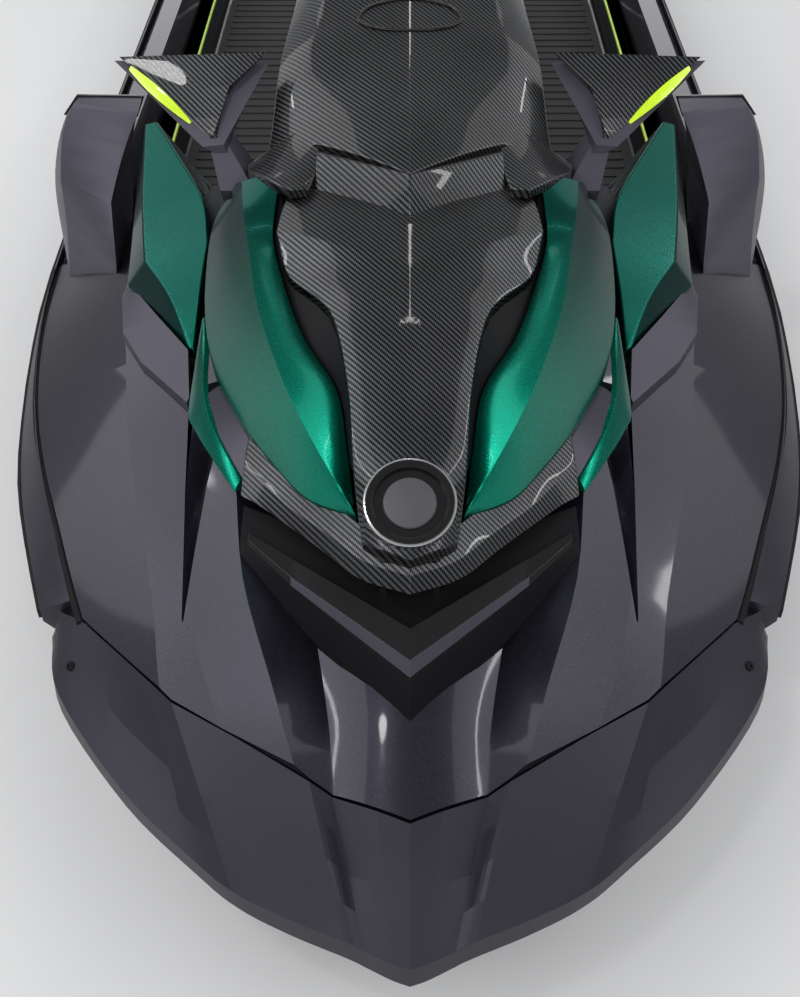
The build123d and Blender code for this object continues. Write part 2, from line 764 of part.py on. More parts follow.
def column_body():
    """Space for the column's foot in the console."""
    foot = at(COLUMN_S, 0, COLUMN_Z)
    return rod(foot - column_axis() * 60, foot + column_axis() * 20, COLUMN_RADIUS + FIT)


def bar_points(length=BAR_HALF):
    """Port half of the bar, from its middle outwards."""
    head = at(COLUMN_S, 0, COLUMN_Z) + column_axis() * COLUMN_LENGTH
    return [head, head + Vector(70, 0, 0), head + Vector(200, 55, 55), head + Vector(length, 120, 62)]


def handlebar():
    foot = at(COLUMN_S, 0, COLUMN_Z)
    stem = rod(foot - column_axis() * 50, foot + column_axis() * (COLUMN_LENGTH + 8), COLUMN_RADIUS)
    head, inner, knee, end = bar_points()
    flip = [Vector(-p.X, p.Y, p.Z) for p in (end, knee, inner)]
    return stem + tube([*flip, inner, knee, end], BAR_RADIUS, 50)


PAD = [(-30, 56, 24), (-12, 78, 38), (22, 74, 37), (36, 52, 22)]   # height on the column, half sizes


def bar_pad():
    plane = Plane(origin=bar_points()[0], z_dir=column_axis())
    return skin([Wire.make_polygon([plane.from_local_coords(Vector(x * half_x, y * half_y, z))
                                    for x, y in ((1, 1), (-1, 1), (-1, -1), (1, -1))])
                 for z, half_x, half_y in PAD])


def grip():
    *_, knee, end = bar_points()
    along = (end - knee).normalized()
    return (rod(end - along * GRIP_LENGTH, end + along * 4, GRIP_RADIUS)
            - rod(end - along * (GRIP_LENGTH + 1), end, BAR_RADIUS))


def switch_pod():
    *_, knee, end = bar_points()
    along = (end - knee).normalized()
    inner = end - along * (GRIP_LENGTH + 42)
    return rod(inner, inner + along * 40, 24) - rod(inner - along, inner + along * 42, BAR_RADIUS)


LEVER_REACH = 44         # from the bar's axis to the lever
LEVER_RADIUS = 5


def lever():
    """Port lever ahead of the grip."""
    *_, knee, end = bar_points()
    along = (end - knee).normalized()
    root = end - along * (GRIP_LENGTH + 22)
    out = Vector(0, -LEVER_REACH, 0)
    return tube([root, root + out + along * 6, end - along * 30 + out + along * 4], LEVER_RADIUS, 12)


# ---------------------------------------------------------------- jet drive
def pump_housing():
    """Bored housing and the venturi behind it."""
    face, flange, exit_s = PUMP_S, PUMP_S + PUMP_LENGTH, PUMP_S + PUMP_LENGTH + VENTURI_LENGTH
    outer = PUMP_BORE + PUMP_WALL
    shell = rod(at(face, 0, PUMP_Z), at(flange, 0, PUMP_Z), outer)
    shell += cone(at(flange, 0, PUMP_Z), at(exit_s, 0, PUMP_Z), outer, VENTURI_EXIT + PUMP_WALL)
    inside = rod(at(face, 0, PUMP_Z), at(flange, 0, PUMP_Z), PUMP_BORE)
    inside += cone(at(flange, 0, PUMP_Z), at(exit_s, 0, PUMP_Z), PUMP_BORE, VENTURI_EXIT)
    return shell - inside


def jet_yokes():
    """Ears above and below that carry the nozzle, and side arms that carry the bucket."""
    front, flange = PUMP_S + PUMP_LENGTH - 30, PUMP_S + PUMP_LENGTH
    outer = PUMP_BORE + PUMP_WALL
    ear_in = NOZZLE_INNER + NOZZLE_WALL + EAR_GAP
    ear_out = ear_in + EAR_WALL
    ear = (box((front, JET_PIVOT_S + 12), (-12, 12), (PUMP_Z + ear_in, PUMP_Z + ear_out))
           + box((front, flange), (-12, 12), (PUMP_Z + outer - 6, PUMP_Z + ear_out))
           + rod(at(JET_PIVOT_S, 0, PUMP_Z + NOZZLE_INNER + 1), at(JET_PIVOT_S, 0, PUMP_Z + ear_out), PIVOT_RADIUS))
    side_in = BUCKET_HALF - 12
    arm = (box((front, JET_PIVOT_S + 14), (side_in, side_in + 8), (PUMP_Z - 14, PUMP_Z + 14))
           + box((front, flange), (outer - 6, side_in + 8), (PUMP_Z - 14, PUMP_Z + 14))
           + rod(at(JET_PIVOT_S, side_in + 8, PUMP_Z), at(JET_PIVOT_S, BUCKET_HALF + BUCKET_WALL + 3, PUMP_Z),
                 PIVOT_RADIUS))
    housing = rod(at(PUMP_S, 0, PUMP_Z), at(flange + 1, 0, PUMP_Z), outer)
    pieces = [ear, ear.mirror(Plane.XY.offset(PUMP_Z)), arm, mirrored(arm)]
    return Compound([solid for piece in pieces for solid in (piece - housing).solids()])


def stator():
    """Fixed vanes and bearing bulb behind the impeller."""
    start, end = PUMP_S + 108, PUMP_S + PUMP_LENGTH - 4
    bulb = rod(at(start, 0, PUMP_Z), at(end, 0, PUMP_Z), HUB_RADIUS)
    bulb += cone(at(end, 0, PUMP_Z), at(end + 60, 0, PUMP_Z), HUB_RADIUS, 8)
    vane = box((start + 2, end - 2), (-3, 3), (PUMP_Z + HUB_RADIUS - 4, PUMP_Z + PUMP_BORE + 2))
    centre = Axis(tuple(at(0, 0, PUMP_Z)), (0, 1, 0))
    for i in range(6):
        bulb += vane.rotate(centre, 60 * i)
    return bulb & rod(at(start, 0, PUMP_Z), at(end + 60, 0, PUMP_Z), PUMP_BORE)


def impeller():
    start, end = PUMP_S + 20, PUMP_S + 100
    body = rod(at(start, 0, PUMP_Z), at(end, 0, PUMP_Z), HUB_RADIUS)
    tip = PUMP_BORE - BLADE_GAP
    wires = []
    for i in range(5):
        angle = radians(-36 + 18 * i)
        s = start + 4 + (end - start - 8) * i / 4
        out, side = Vector(sin(angle), 0, cos(angle)), Vector(cos(angle), 0, -sin(angle))
        centre = at(s, 0, PUMP_Z)
        wires.append(Wire.make_polygon([centre + out * 26 + side * 3, centre + out * tip + side * 2,
                                        centre + out * tip - side * 2, centre + out * 26 - side * 3]))
    blade = skin(wires)
    centre = Axis(tuple(at(0, 0, PUMP_Z)), (0, 1, 0))
    for i in range(BLADE_COUNT):
        body += blade.rotate(centre, 360 / BLADE_COUNT * i)
    return body + rod(at(ENGINE_S + ENGINE_LENGTH + FIT, 0, PUMP_Z), at(end + 6, 0, PUMP_Z), SHAFT_RADIUS)


def steering_nozzle():
    front = JET_PIVOT_S - NOZZLE_LEAD
    mid, end = JET_PIVOT_S + 25, front + NOZZLE_LENGTH
    shell = rod(at(front, 0, PUMP_Z), at(mid, 0, PUMP_Z), NOZZLE_INNER + NOZZLE_WALL)
    shell += cone(at(mid, 0, PUMP_Z), at(end, 0, PUMP_Z), NOZZLE_INNER + NOZZLE_WALL, NOZZLE_EXIT + NOZZLE_WALL)
    inside = rod(at(front, 0, PUMP_Z), at(mid, 0, PUMP_Z), NOZZLE_INNER)
    inside += cone(at(mid, 0, PUMP_Z), at(end, 0, PUMP_Z), NOZZLE_INNER, NOZZLE_EXIT)
    pins = rod(at(JET_PIVOT_S, 0, PUMP_Z - 120), at(JET_PIVOT_S, 0, PUMP_Z + 120), PIVOT_RADIUS + FIT)
    return shell - inside - pins


def reverse_bucket():
    outer, inner = BUCKET_RADIUS + BUCKET_WALL, BUCKET_RADIUS
    half = BUCKET_HALF + BUCKET_WALL
    drum = across(JET_PIVOT_S, 0, PUMP_Z, outer, 2 * half)
    hollow = across(JET_PIVOT_S, 0, PUMP_Z, inner, 2 * BUCKET_HALF)
    reach = 2 * outer
    low, high = BUCKET_SPAN
    corners = [(0, 0)] + [(reach * cos(radians(a)), reach * sin(radians(a)))
                          for a in (low, (low + high) / 2, high)]
    wedge = extrude(make_face(Wire.make_polygon(
        [at(JET_PIVOT_S + ds, -half - 5, PUMP_Z + dz) for ds, dz in corners])), 2 * half + 10, dir=(1, 0, 0))
    gate = (drum - hollow) & wedge
    bosses = both(across(JET_PIVOT_S, half - BUCKET_WALL / 2, PUMP_Z, 18, BUCKET_WALL))
    pins = across(JET_PIVOT_S, 0, PUMP_Z, PIVOT_RADIUS + FIT, 2 * half + 20)
    inside = across(JET_PIVOT_S, 0, PUMP_Z, 30, 2 * BUCKET_HALF)
    return gate + bosses - pins - inside


def ride_plate():
    """Shallow V plate that closes the tunnel from below."""
    section = [(0, -274), (TUNNEL_HALF, -222), (TUNNEL_HALF, -208), (0, -260)]
    return skin([ring(s, section) for s in (PUMP_S + FIT, TRANSOM_S)])


GRATE_Z = (-258, -240)
GRATE_X = (-60, -20, 20, 60)
GRATE_BAR = 4            # half-width of a bar


def intake_grate(solid_hull):
    """Bars along the duct's mouth, joined by one across."""
    grate = box((2446, 2456), (-120, 120), (GRATE_Z[0] + 4, GRATE_Z[1] - 4))
    for x in GRATE_X:
        grate += box((2240, 2680), (x - GRATE_BAR, x + GRATE_BAR), GRATE_Z)
    return grate - solid_hull


# ---------------------------------------------------------------- fittings
# s, outer x, bottom and top
SPONSON = [(2440, 500, -66, -40), (2540, 548, -82, -30), (2980, 556, -86, -28), (3130, 520, -78, -40)]


def sponson(solid_hull):
    """Chine blade along the hull's quarter."""
    wires = [Wire.make_polygon([at(s, 460, low), at(s, outer - 6, low), at(s, outer, low + 10),
                                at(s, outer - 16, high), at(s, 460, high)])
             for s, outer, low, high in fair(SPONSON, 2)]
    return skin(wires) - solid_hull


def footwell_mat():
    inner = [(s, inner_x + 8, floor + 5) for s, _, _, _, floor, inner_x, *_ in WAIST]
    outer = [(s, outer_x - 8, floor + 5) for s, _, _, outer_x, floor, *_ in WAIST]
    inner[0], outer[0] = (1180, *inner[0][1:]), (1180, *outer[0][1:])
    inner[-1], outer[-1] = (2600, *inner[-1][1:]), (2600, *outer[-1][1:])
    return panel([inner, outer], 8, spans=2)


def platform_mat():
    return box((2900, 3240), (-160, 160), (206, 222))


def grab_rail():
    return tube([at(2770, 110, 250), at(2810, 110, 470), at(2810, -110, 470), at(2770, -110, 250)], 12, 45)


def stern_eyes():
    s = TRANSOM_S
    return both(tube([at(s, 330, 45), at(s + 28, 330, 45), at(s + 28, 330, 5), at(s, 330, 5)], 5, 10))


def bow_eye():
    return tube([at(110, 0, 92), at(64, 0, 48), at(96, 0, 12), at(150, 0, 60)], 6, 14)


STEP_S = 3300
STEP_X = 195
STEP_Z = -10
STEP_RADIUS = 11
STEP_RISE = 150


def boarding_step():
    low = STEP_Z
    loop = tube([at(STEP_S, STEP_X, low), at(STEP_S, STEP_X, low + STEP_RISE),
                 at(STEP_S, -STEP_X, low + STEP_RISE), at(STEP_S, -STEP_X, low)], STEP_RADIUS, 40)
    bosses = both(across(STEP_S, STEP_X, low, 14, 24))
    return loop + bosses - both(across(STEP_S, STEP_X, low, PIVOT_RADIUS + FIT, 60))


def step_brackets():
    ear = box((TRANSOM_S, STEP_S + 8), (STEP_X + 13, STEP_X + 21), (STEP_Z - 14, STEP_Z + 14))
    pin = across(STEP_S, STEP_X + 2, STEP_Z, PIVOT_RADIUS, 38)
    return both(ear + pin)


def write(name, shape):
    export_step(shape, f"parts/{name}.step")


def main():
    os.makedirs("parts", exist_ok=True)
    solid_hull, solid_deck = hull(), deck()
    spine, flank = hood_spine(), hood_flank()
    vent = vent_floor()
    badge = nose_badge()
    cowl = hood_cowl() - spine
    step, leg = cowl_step()
    step = largest(step - cowl - spine - flank - mirrored(flank))
    leg = largest(leg - cowl - spine - flank - vent - step)
    liner = cowl_liner() - spine - cowl - step - leg - mirrored(leg)
    cap, reflector = mirror_cap(), mirror_reflector()
    housing = mirror_housing() - cap - flank - cowl - liner - leg
    reflector = largest(reflector - cap - housing)
    lip = largest(nose_lip() - spine - flank - mirrored(flank))
    strip = largest(side_strip() - flank - lip)
    bracket = largest(hood_bracket() - strip - flank - lip)
    tray = largest(nose_tray() - solid_deck)
    wing = largest(chin_wing() - solid_deck - tray)
    cheek_panel = cheek() - solid_deck
    trim = largest(cheek_trim() - solid_deck - cheek_panel)
    pod = side_pod() - solid_deck - cheek_panel
    body = console()
    bar = handlebar()
    switch = switch_pod()
    write("hull", solid_hull)
    write("deck", solid_deck)
    write("front_bumper", front_bumper() - solid_hull - solid_deck)
    write("rub_rail", both(rub_rail() - solid_hull - solid_deck))
    write("hood_spine", spine - badge)
    write("hood_flanks", both(flank))
    write("vent_floors", both(vent))
    write("cowl_step", step)
    write("cowl_legs", both(leg))
    write("cowl_liner", liner)
    write("nose_lip", lip)
    write("side_strips", both(strip))
    write("hood_brackets", both(bracket))
    write("hood_cowl", cowl)
    write("nose_badge", badge)
    write("hinge_arms", both(largest(hinge_arms() - liner - spine - lip)))
    write("hinge_base", hinge_base() - solid_deck - wing - tray)
    write("mirror_caps", both(cap))
    write("mirror_housings", both(housing))
    write("cheeks", both(cheek_panel))
    write("side_pods", both(pod))
    write("mirror_glass", both(mirror_glass()))
    write("mirror_reflectors", both(reflector))
    write("cheek_trims", both(trim))
    write("pod_caps", both(pod_cap() - pod))
    write("nose_tray", tray)
    write("chin_wing", wing)
    write("front_bin", bin_outside() - box((BIN_S[0] + BIN_WALL, BIN_S[1] - BIN_WALL),
                                           (-BIN_HALF + BIN_WALL, BIN_HALF - BIN_WALL),
                                           (BIN_Z[0] + BIN_WALL, BIN_Z[1] + 1)))
    write("console", body - solid_deck)
    write("gauge", largest(gauge() - body))
    write("glovebox_lid", glovebox_lid())
    write("seat_front", seat(FRONT_SEAT))
    write("seat_rear", seat(REAR_SEAT))
    write("handlebar", bar)
    write("bar_pad", bar_pad() - bar)
    write("grips", both(grip()))
    write("switch_pods", both(switch))
    write("levers", both(largest(lever() - switch - bar)))
    write("engine_block", engine_block())
    write("pump_housing", pump_housing())
    write("jet_yokes", jet_yokes())
    write("stator", stator())
    write("impeller", impeller())
    write("steering_nozzle", steering_nozzle())
    write("reverse_bucket", reverse_bucket())
    write("ride_plate", ride_plate() - solid_hull)
    write("intake_grate", intake_grate(solid_hull))
    write("sponsons", both(sponson(solid_hull)))
    write("footwell_mats", both(footwell_mat() - solid_deck))
    write("platform_mat", platform_mat() - solid_deck)
    write("grab_rail", grab_rail() - solid_deck)
    write("stern_eyes", stern_eyes())
    write("bow_eye", bow_eye() - solid_hull)
    write("anchor_sockets", anchor_sockets())
    write("boarding_step", boarding_step())
    write("step_brackets", step_brackets())


main()
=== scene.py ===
import json
import logging
import math
from dataclasses import dataclass, field
from enum import Enum
from typing import Callable, Iterable, Optional, Sequence, Union

import bmesh
import bpy
from mathutils import Matrix, Vector
from mathutils.bvhtree import BVHTree

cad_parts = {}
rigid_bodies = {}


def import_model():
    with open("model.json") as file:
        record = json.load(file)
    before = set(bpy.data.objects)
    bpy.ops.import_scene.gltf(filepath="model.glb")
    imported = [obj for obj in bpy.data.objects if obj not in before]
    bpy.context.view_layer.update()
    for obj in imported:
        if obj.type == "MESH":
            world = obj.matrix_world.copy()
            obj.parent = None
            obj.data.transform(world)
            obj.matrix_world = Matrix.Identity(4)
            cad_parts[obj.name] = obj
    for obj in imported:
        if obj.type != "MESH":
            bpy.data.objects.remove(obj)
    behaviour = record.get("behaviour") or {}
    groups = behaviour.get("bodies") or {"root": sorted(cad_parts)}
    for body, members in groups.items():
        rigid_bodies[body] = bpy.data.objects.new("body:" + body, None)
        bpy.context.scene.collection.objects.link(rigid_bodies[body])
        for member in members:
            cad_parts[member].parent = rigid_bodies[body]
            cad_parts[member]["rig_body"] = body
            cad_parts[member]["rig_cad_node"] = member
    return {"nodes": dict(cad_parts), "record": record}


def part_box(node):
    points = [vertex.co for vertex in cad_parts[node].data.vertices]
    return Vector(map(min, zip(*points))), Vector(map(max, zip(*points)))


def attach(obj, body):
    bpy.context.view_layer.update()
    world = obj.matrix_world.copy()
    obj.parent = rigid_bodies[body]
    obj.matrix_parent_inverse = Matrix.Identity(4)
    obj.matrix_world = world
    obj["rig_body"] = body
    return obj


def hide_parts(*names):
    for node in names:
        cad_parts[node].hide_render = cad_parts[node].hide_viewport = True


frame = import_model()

logging.basicConfig(level=logging.INFO, format="%(message)s")
LOG = logging.getLogger("watercraft")
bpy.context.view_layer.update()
NODE_BODY = {node: body for body, nodes in frame["record"]["behaviour"]["bodies"].items() for node in nodes}
NODE_SLOT = {part["node"]: part["material_slot"] for part in frame["record"]["subparts"]}
Point = tuple[float, float, float]


# ---------------------------------------------------------------- shader expressions
class Sock:
    """A shader value, written in Python expressions that add Math nodes."""

    def __init__(self, graph: "Graph", value: Union[bpy.types.NodeSocket, float]) -> None:
        """Wraps a socket or a number."""
        self.graph = graph
        self.value = value

    def _math(self, operation: str, *values: Union["Sock", float]) -> "Sock":
        """Adds one Math node on these values."""
        return self.graph.add("ShaderNodeMath", {"operation": operation}, values)

    def __add__(self, other: Union["Sock", float]) -> "Sock":
        """Sum."""
        return self._math("ADD", self, other)

    def __radd__(self, other: float) -> "Sock":
        """Sum."""
        return self._math("ADD", other, self)

    def __sub__(self, other: Union["Sock", float]) -> "Sock":
        """Difference."""
        return self._math("SUBTRACT", self, other)

    def __rsub__(self, other: float) -> "Sock":
        """Difference from a number."""
        return self._math("SUBTRACT", other, self)

    def __mul__(self, other: Union["Sock", float]) -> "Sock":
        """Product."""
        return self._math("MULTIPLY", self, other)

    def __rmul__(self, other: float) -> "Sock":
        """Product."""
        return self._math("MULTIPLY", other, self)

    def __truediv__(self, other: Union["Sock", float]) -> "Sock":
        """Quotient."""
        return self._math("DIVIDE", self, other)

    def __mod__(self, other: Union["Sock", float]) -> "Sock":
        """Remainder, never negative for a positive divisor."""
        return self._math("FLOORED_MODULO", self, other)

    def __pow__(self, other: Union["Sock", float]) -> "Sock":
        """Power."""
        return self._math("POWER", self, other)

    def __lt__(self, other: Union["Sock", float]) -> "Sock":
        """1 where this is less, else 0."""
        return self._math("LESS_THAN", self, other)

    def __gt__(self, other: Union["Sock", float]) -> "Sock":
        """1 where this is greater, else 0."""
        return self._math("GREATER_THAN", self, other)

    def floor(self) -> "Sock":
        """Whole part."""
        return self._math("FLOOR", self)

    def abs(self) -> "Sock":
        """Size without sign."""
        return self._math("ABSOLUTE", self)

    def clamp(self) -> "Sock":
        """Value held between 0 and 1."""
        return self.graph.add("ShaderNodeClamp", {}, (self,))


Value = Union[Sock, float, Sequence[float]]


class Graph:
    """One material's node tree around a Principled shader."""

    def __init__(self, name: str) -> None:
        """Makes an empty material with its shader and output.

        Args:
            name: the material's name.
        """
        self.material = bpy.data.materials.new(name)
        self.material.use_nodes = True
        self.tree = self.material.node_tree
        self.tree.nodes.clear()
        self.shader = self.tree.nodes.new("ShaderNodeBsdfPrincipled")
        output = self.tree.nodes.new("ShaderNodeOutputMaterial")
        self.tree.links.new(self.shader.outputs[0], output.inputs[0])
        self.place: Optional[Sock] = None

    def put(self, socket: bpy.types.NodeSocket, value: Value) -> None:
        """Links or sets one input.

        Args:
            socket: the input.
            value: a link, a number or a colour, whose alpha may be left out.
        """
        if isinstance(value, Sock):
            if isinstance(value.value, bpy.types.NodeSocket):
                self.tree.links.new(value.value, socket)
                return
            value = value.value
        if not isinstance(value, (int, float)) and len(socket.default_value) == 4 and len(value) == 3:
            value = (*value, 1.0)
        socket.default_value = value

    def add(self, kind: str, settings: dict, values: Union[dict, Iterable],
            output: Union[int, str] = 0) -> Sock:
        """Adds a node.

        Args:
            kind: the node's type.
            settings: its own properties, set before its inputs.
            values: values or links by input name, or in the inputs' order.
            output: which output comes back.

        Returns:
            The chosen output, as a value.
        """
        node = self.tree.nodes.new(kind)
        for name, setting in settings.items():
            setattr(node, name, setting)
        pairs = values.items() if isinstance(values, dict) else enumerate(values)
        for name, value in pairs:
            self.put(node.inputs[name], value)
        return Sock(self, node.outputs[output])

    def where(self) -> Sock:
        """Reads the place, once for each graph.

        Returns:
            The object coordinates, in metres.
        """
        if self.place is None:
            self.place = self.add("ShaderNodeTexCoord", {}, (), "Object")
        return self.place

    def axes(self, vector: Optional[Sock] = None) -> tuple[Sock, Sock, Sock]:
        """Splits a vector.

        Args:
            vector: the vector, by default the place.

        Returns:
            Its x, y and z.
        """
        split = self.add("ShaderNodeSeparateXYZ", {}, (vector or self.where(),))
        node = split.value.node
        return tuple(Sock(self, out) for out in node.outputs)

    def noise(self, scale: float, detail: float = 2.0, stretch: Point = (1, 1, 1),
              rough: float = 0.5) -> Sock:
        """Makes soft noise.

        Args:
            scale: its scale per metre.
            detail: how many finer layers it has.
            stretch: its scale along each axis.
            rough: how strong the finer layers are.

        Returns:
            The noise, from 0 to 1.
        """
        spot = self.add("ShaderNodeMapping", {}, {"Vector": self.where(), "Scale": stretch})
        return self.add("ShaderNodeTexNoise", {},
                        {"Vector": spot, "Scale": scale, "Detail": detail, "Roughness": rough})

    def cells(self, scale: float, output: str = "Distance", feature: str = "F1") -> Sock:
        """Voronoi cells of a scale per metre."""
        return self.add("ShaderNodeTexVoronoi", {"feature": feature},
                        {"Vector": self.where(), "Scale": scale}, output)

    def mix(self, factor: Value, first: Value, second: Value) -> Sock:
        """Mixes two colours.

        Args:
            factor: 0 for the first colour, 1 for the second.
            first: a colour.
            second: a colour.

        Returns:
            The mixed colour.
        """
        node = self.tree.nodes.new("ShaderNodeMix")
        node.data_type = "RGBA"
        for name, value in (("Factor_Float", factor), ("A_Color", first), ("B_Color", second)):
            self.put(next(s for s in node.inputs if s.identifier == name), value)
        return Sock(self, next(s for s in node.outputs if s.identifier == "Result_Color"))

    def bump(self, height: Sock, depth: float, strength: float = 1.0, under: Optional[Sock] = None) -> Sock:
        """Makes a surface normal from a height.

        Args:
            height: the height, from 0 to 1.
            depth: what a height of 1 stands for, in metres.
            strength: how much of it shows.
            under: a normal that it builds on.

        Returns:
            The normal.
        """
        values = {"Height": height, "Distance": depth, "Strength": strength}
        if under is not None:
            values["Normal"] = under
        return self.add("ShaderNodeBump", {}, values)

    def finish(self, **inputs: Value) -> bpy.types.Material:
        """Sets the shader's inputs.

        Args:
            inputs: the values by the inputs' names, with _ for a space.

        Returns:
            The material.
        """
        for name, value in inputs.items():
            self.put(self.shader.inputs[name.replace("_", " ")], value)
        return self.material


# ---------------------------------------------------------------- finishes
@dataclass(frozen=True)
class CarbonTwill:
    """Clear-coated two-by-two twill carbon cloth, its weave shown by painted sheen on the tows."""

    tow: float = 0.0018
    slope: float = 0.45
    steep: float = 0.72
    dark: Point = (0.001, 0.0012, 0.0014)
    # pale: the lightest painted sheen on the tows
    pale: Point = (0.12, 0.124, 0.13)

    def build(self) -> bpy.types.Material:
        """Builds the shader.

        Returns:
            The material.
        """
        g = Graph("carbon_twill")
        x, y, z = g.axes()
        facing = g.axes(g.add("ShaderNodeTexCoord", {}, (), "Normal"))[0].abs()
        side = facing > self.steep
        u = (x * (1.0 - side) + z * side) / self.tow
        v = (y * math.cos(self.slope) + z * math.sin(self.slope) * (1.0 - side)) / self.tow
        over = ((u.floor() + v.floor()) % 4.0) < 1.5
        across = (u % 1.0 - 0.5).abs() * 2.0
        along = (v % 1.0 - 0.5).abs() * 2.0
        crown = over * (1.0 - across * across) + (1.0 - over) * (1.0 - along * along)
        fibre = g.noise(2600.0, 1.0)
        cloud = g.noise(9.0, 2.0)
        # The weave's real pattern with painted sheen: tows that lie over are lighter, each tow lighter along
        # its crown, soft clouds lighter, standing in for glints of light.
        weave_and_painted_sheen = (over * 0.9 + crown * 0.1) * (crown * 0.7 + 0.2) * (0.25 + fibre * 0.5 + cloud * 0.9)
        colour = g.mix(weave_and_painted_sheen.clamp(), self.dark, self.pale)
        weave = g.bump(crown, 0.00012, 0.5)
        return g.finish(Base_Color=colour, Metallic=0.92, Roughness=0.3 + over * 0.12, Normal=weave,
                        Coat_Weight=1.0, Coat_Roughness=0.03, Coat_IOR=1.25, Specular_IOR_Level=0.2)


@dataclass(frozen=True)
class MetallicPaint:
    """Metallic paint under clear coat, its flakes fine and slightly tilted, with optional painted shade."""

    name: str
    colour: Point
    deep: Point
    flake: float = 0.35
    metallic: float = 0.75
    roughness: float = 0.36
    coat: float = 1.0
    gloss: float = 1.5
    # painted shade: the colour deepens aft between these y places and on faces that point outboard, standing
    # in for shade there
    fade: Optional[tuple[float, float]] = None     # the y places between which the colour deepens aft
    fade_end: tuple[float, float] = (0.35, 0.15)   # how far past them it fades out, and over what length
    fade_depth: float = 0.76
    outboard_depth: float = 0.16
    outboard_gain: float = 1.6                     # how soon a face counts as pointing outboard

    def build(self) -> bpy.types.Material:
        """Builds the shader.

        Returns:
            The material.
        """
        g = Graph(self.name)
        spark = g.axes(g.cells(1300.0, "Color"))[0]
        cloud = g.noise(3.0, 2.0)
        tone = (spark ** 4.0 * self.flake + cloud * 0.2 + 0.3).clamp()
        # painted shade: darker aft and on faces that point outboard
        if self.fade:
            tone = (tone + 0.35) * (1.0 - self.deepened(g))
        return g.finish(Base_Color=g.mix(tone, self.deep, self.colour), Metallic=self.metallic,
                        Roughness=self.roughness + spark * 0.06, Normal=g.bump(spark, 0.00002, 0.2),
                        Coat_Weight=self.coat, Coat_Roughness=0.06, Coat_IOR=self.gloss,
                        Specular_IOR_Level=0.25)

    def deepened(self, g: Graph) -> Sock:
        """Works out the painted shade: how much deeper the colour is towards the cowl and on faces that point
        outboard.

        Args:
            g: the material's graph.

        Returns:
            A share, 0 where the colour is as it was.
        """
        start, end = self.fade
        even, length = self.fade_end
        x, y, _ = g.axes()
        outward = g.axes(g.add("ShaderNodeTexCoord", {}, (), "Normal"))[0] * (x / (x.abs() + 0.001))
        aft_shade = ((y - start) / (end - start)).clamp() * (1.0 - ((y - end - even) / length).clamp())
        return aft_shade * self.fade_depth + (outward * self.outboard_gain).clamp() * self.outboard_depth


@dataclass(frozen=True)
class MouldedPlastic:
    """Moulded plastic with a fine grain and faint handling wear."""

    name: str
    colour: Point
    grain: float = 900.0
    depth: float = 0.00006
    roughness: float = 0.45
    coat: float = 0.0
    metallic: float = 0.0
    shine: float = 0.2

    def build(self) -> bpy.types.Material:
        """Builds the shader.

        Returns:
            The material.
        """
        g = Graph(self.name)
        fine = g.noise(self.grain, 3.0, rough=0.6)
        broad = g.noise(7.0, 3.0)
        lift = tuple(min(1.0, c * 1.35 + 0.004) for c in self.colour)
        colour = g.mix((broad * 0.6 + fine * 0.4).clamp(), self.colour, lift)
        return g.finish(Base_Color=colour, Roughness=self.roughness + (broad - 0.5) * 0.12 + fine * 0.05,
                        Metallic=self.metallic, Normal=g.bump(fine, self.depth, 0.7),
                        Coat_Weight=self.coat, Coat_Roughness=0.05, Coat_IOR=1.3,
                        Specular_IOR_Level=self.shine)


@dataclass(frozen=True)
class Metal:
    """Metal, brushed, cast or polished."""

    name: str
    colour: Point
    roughness: float = 0.3
    grain: float = 500.0
    stretch: Point = (1.0, 0.06, 1.0)
    depth: float = 0.00003

    def build(self) -> bpy.types.Material:
        """Builds the shader.

        Returns:
            The material.
        """
        g = Graph(self.name)
        brush = g.noise(self.grain, 3.0, self.stretch)
        spots = g.noise(11.0, 4.0)
        dull = tuple(c * 0.72 for c in self.colour)
        colour = g.mix((spots * 0.7 + brush * 0.3).clamp(), dull, self.colour)
        return g.finish(Base_Color=colour, Metallic=1.0, Roughness=self.roughness + (spots - 0.5) * 0.2,
                        Normal=g.bump(brush, self.depth, 0.6))


@dataclass(frozen=True)
class MirrorGlass:
    """Silvered mirror glass."""

    def build(self) -> bpy.types.Material:
        """Builds the shader.

        Returns:
            The material.
        """
        g = Graph("mirror_glass")
        haze = g.noise(18.0, 3.0)
        return g.finish(Base_Color=g.mix(haze, (0.78, 0.8, 0.83), (0.86, 0.88, 0.9)), Metallic=1.0,
                        Roughness=0.02 + haze * 0.03)


@dataclass(frozen=True)
class Reflector:
    """Lime prismatic reflector under clear plastic, with a faint painted glow."""

    def build(self) -> bpy.types.Material:
        """Builds the shader.

        Returns:
            The material.
        """
        g = Graph("lime_reflector")
        prisms = g.cells(700.0)
        colour = g.mix(prisms, (0.62, 0.86, 0.01), (0.45, 0.7, 0.0))
        # painted glow: a faint emission lights the reflector though it is no lamp
        return g.finish(Base_Color=colour, Roughness=0.25, Normal=g.bump(prisms, 0.0001, 0.5),
                        Emission_Color=colour, Emission_Strength=0.12, Coat_Weight=1.0, Coat_Roughness=0.03)


@dataclass(frozen=True)
class SeatVinyl:
    """Marine seat vinyl, pebbled."""

    def build(self) -> bpy.types.Material:
        """Builds the shader.

        Returns:
            The material.
        """
        g = Graph("seat_vinyl")
        pebble = g.cells(420.0, "Distance", "SMOOTH_F1")
        crease = g.noise(60.0, 5.0)
        colour = g.mix((pebble * 0.7 + crease * 0.4).clamp(), (0.012, 0.012, 0.013), (0.034, 0.034, 0.037))
        return g.finish(Base_Color=colour, Roughness=0.48 + crease * 0.12,
                        Normal=g.bump(pebble, 0.00025, 0.5, g.bump(crease, 0.0006, 0.2)))


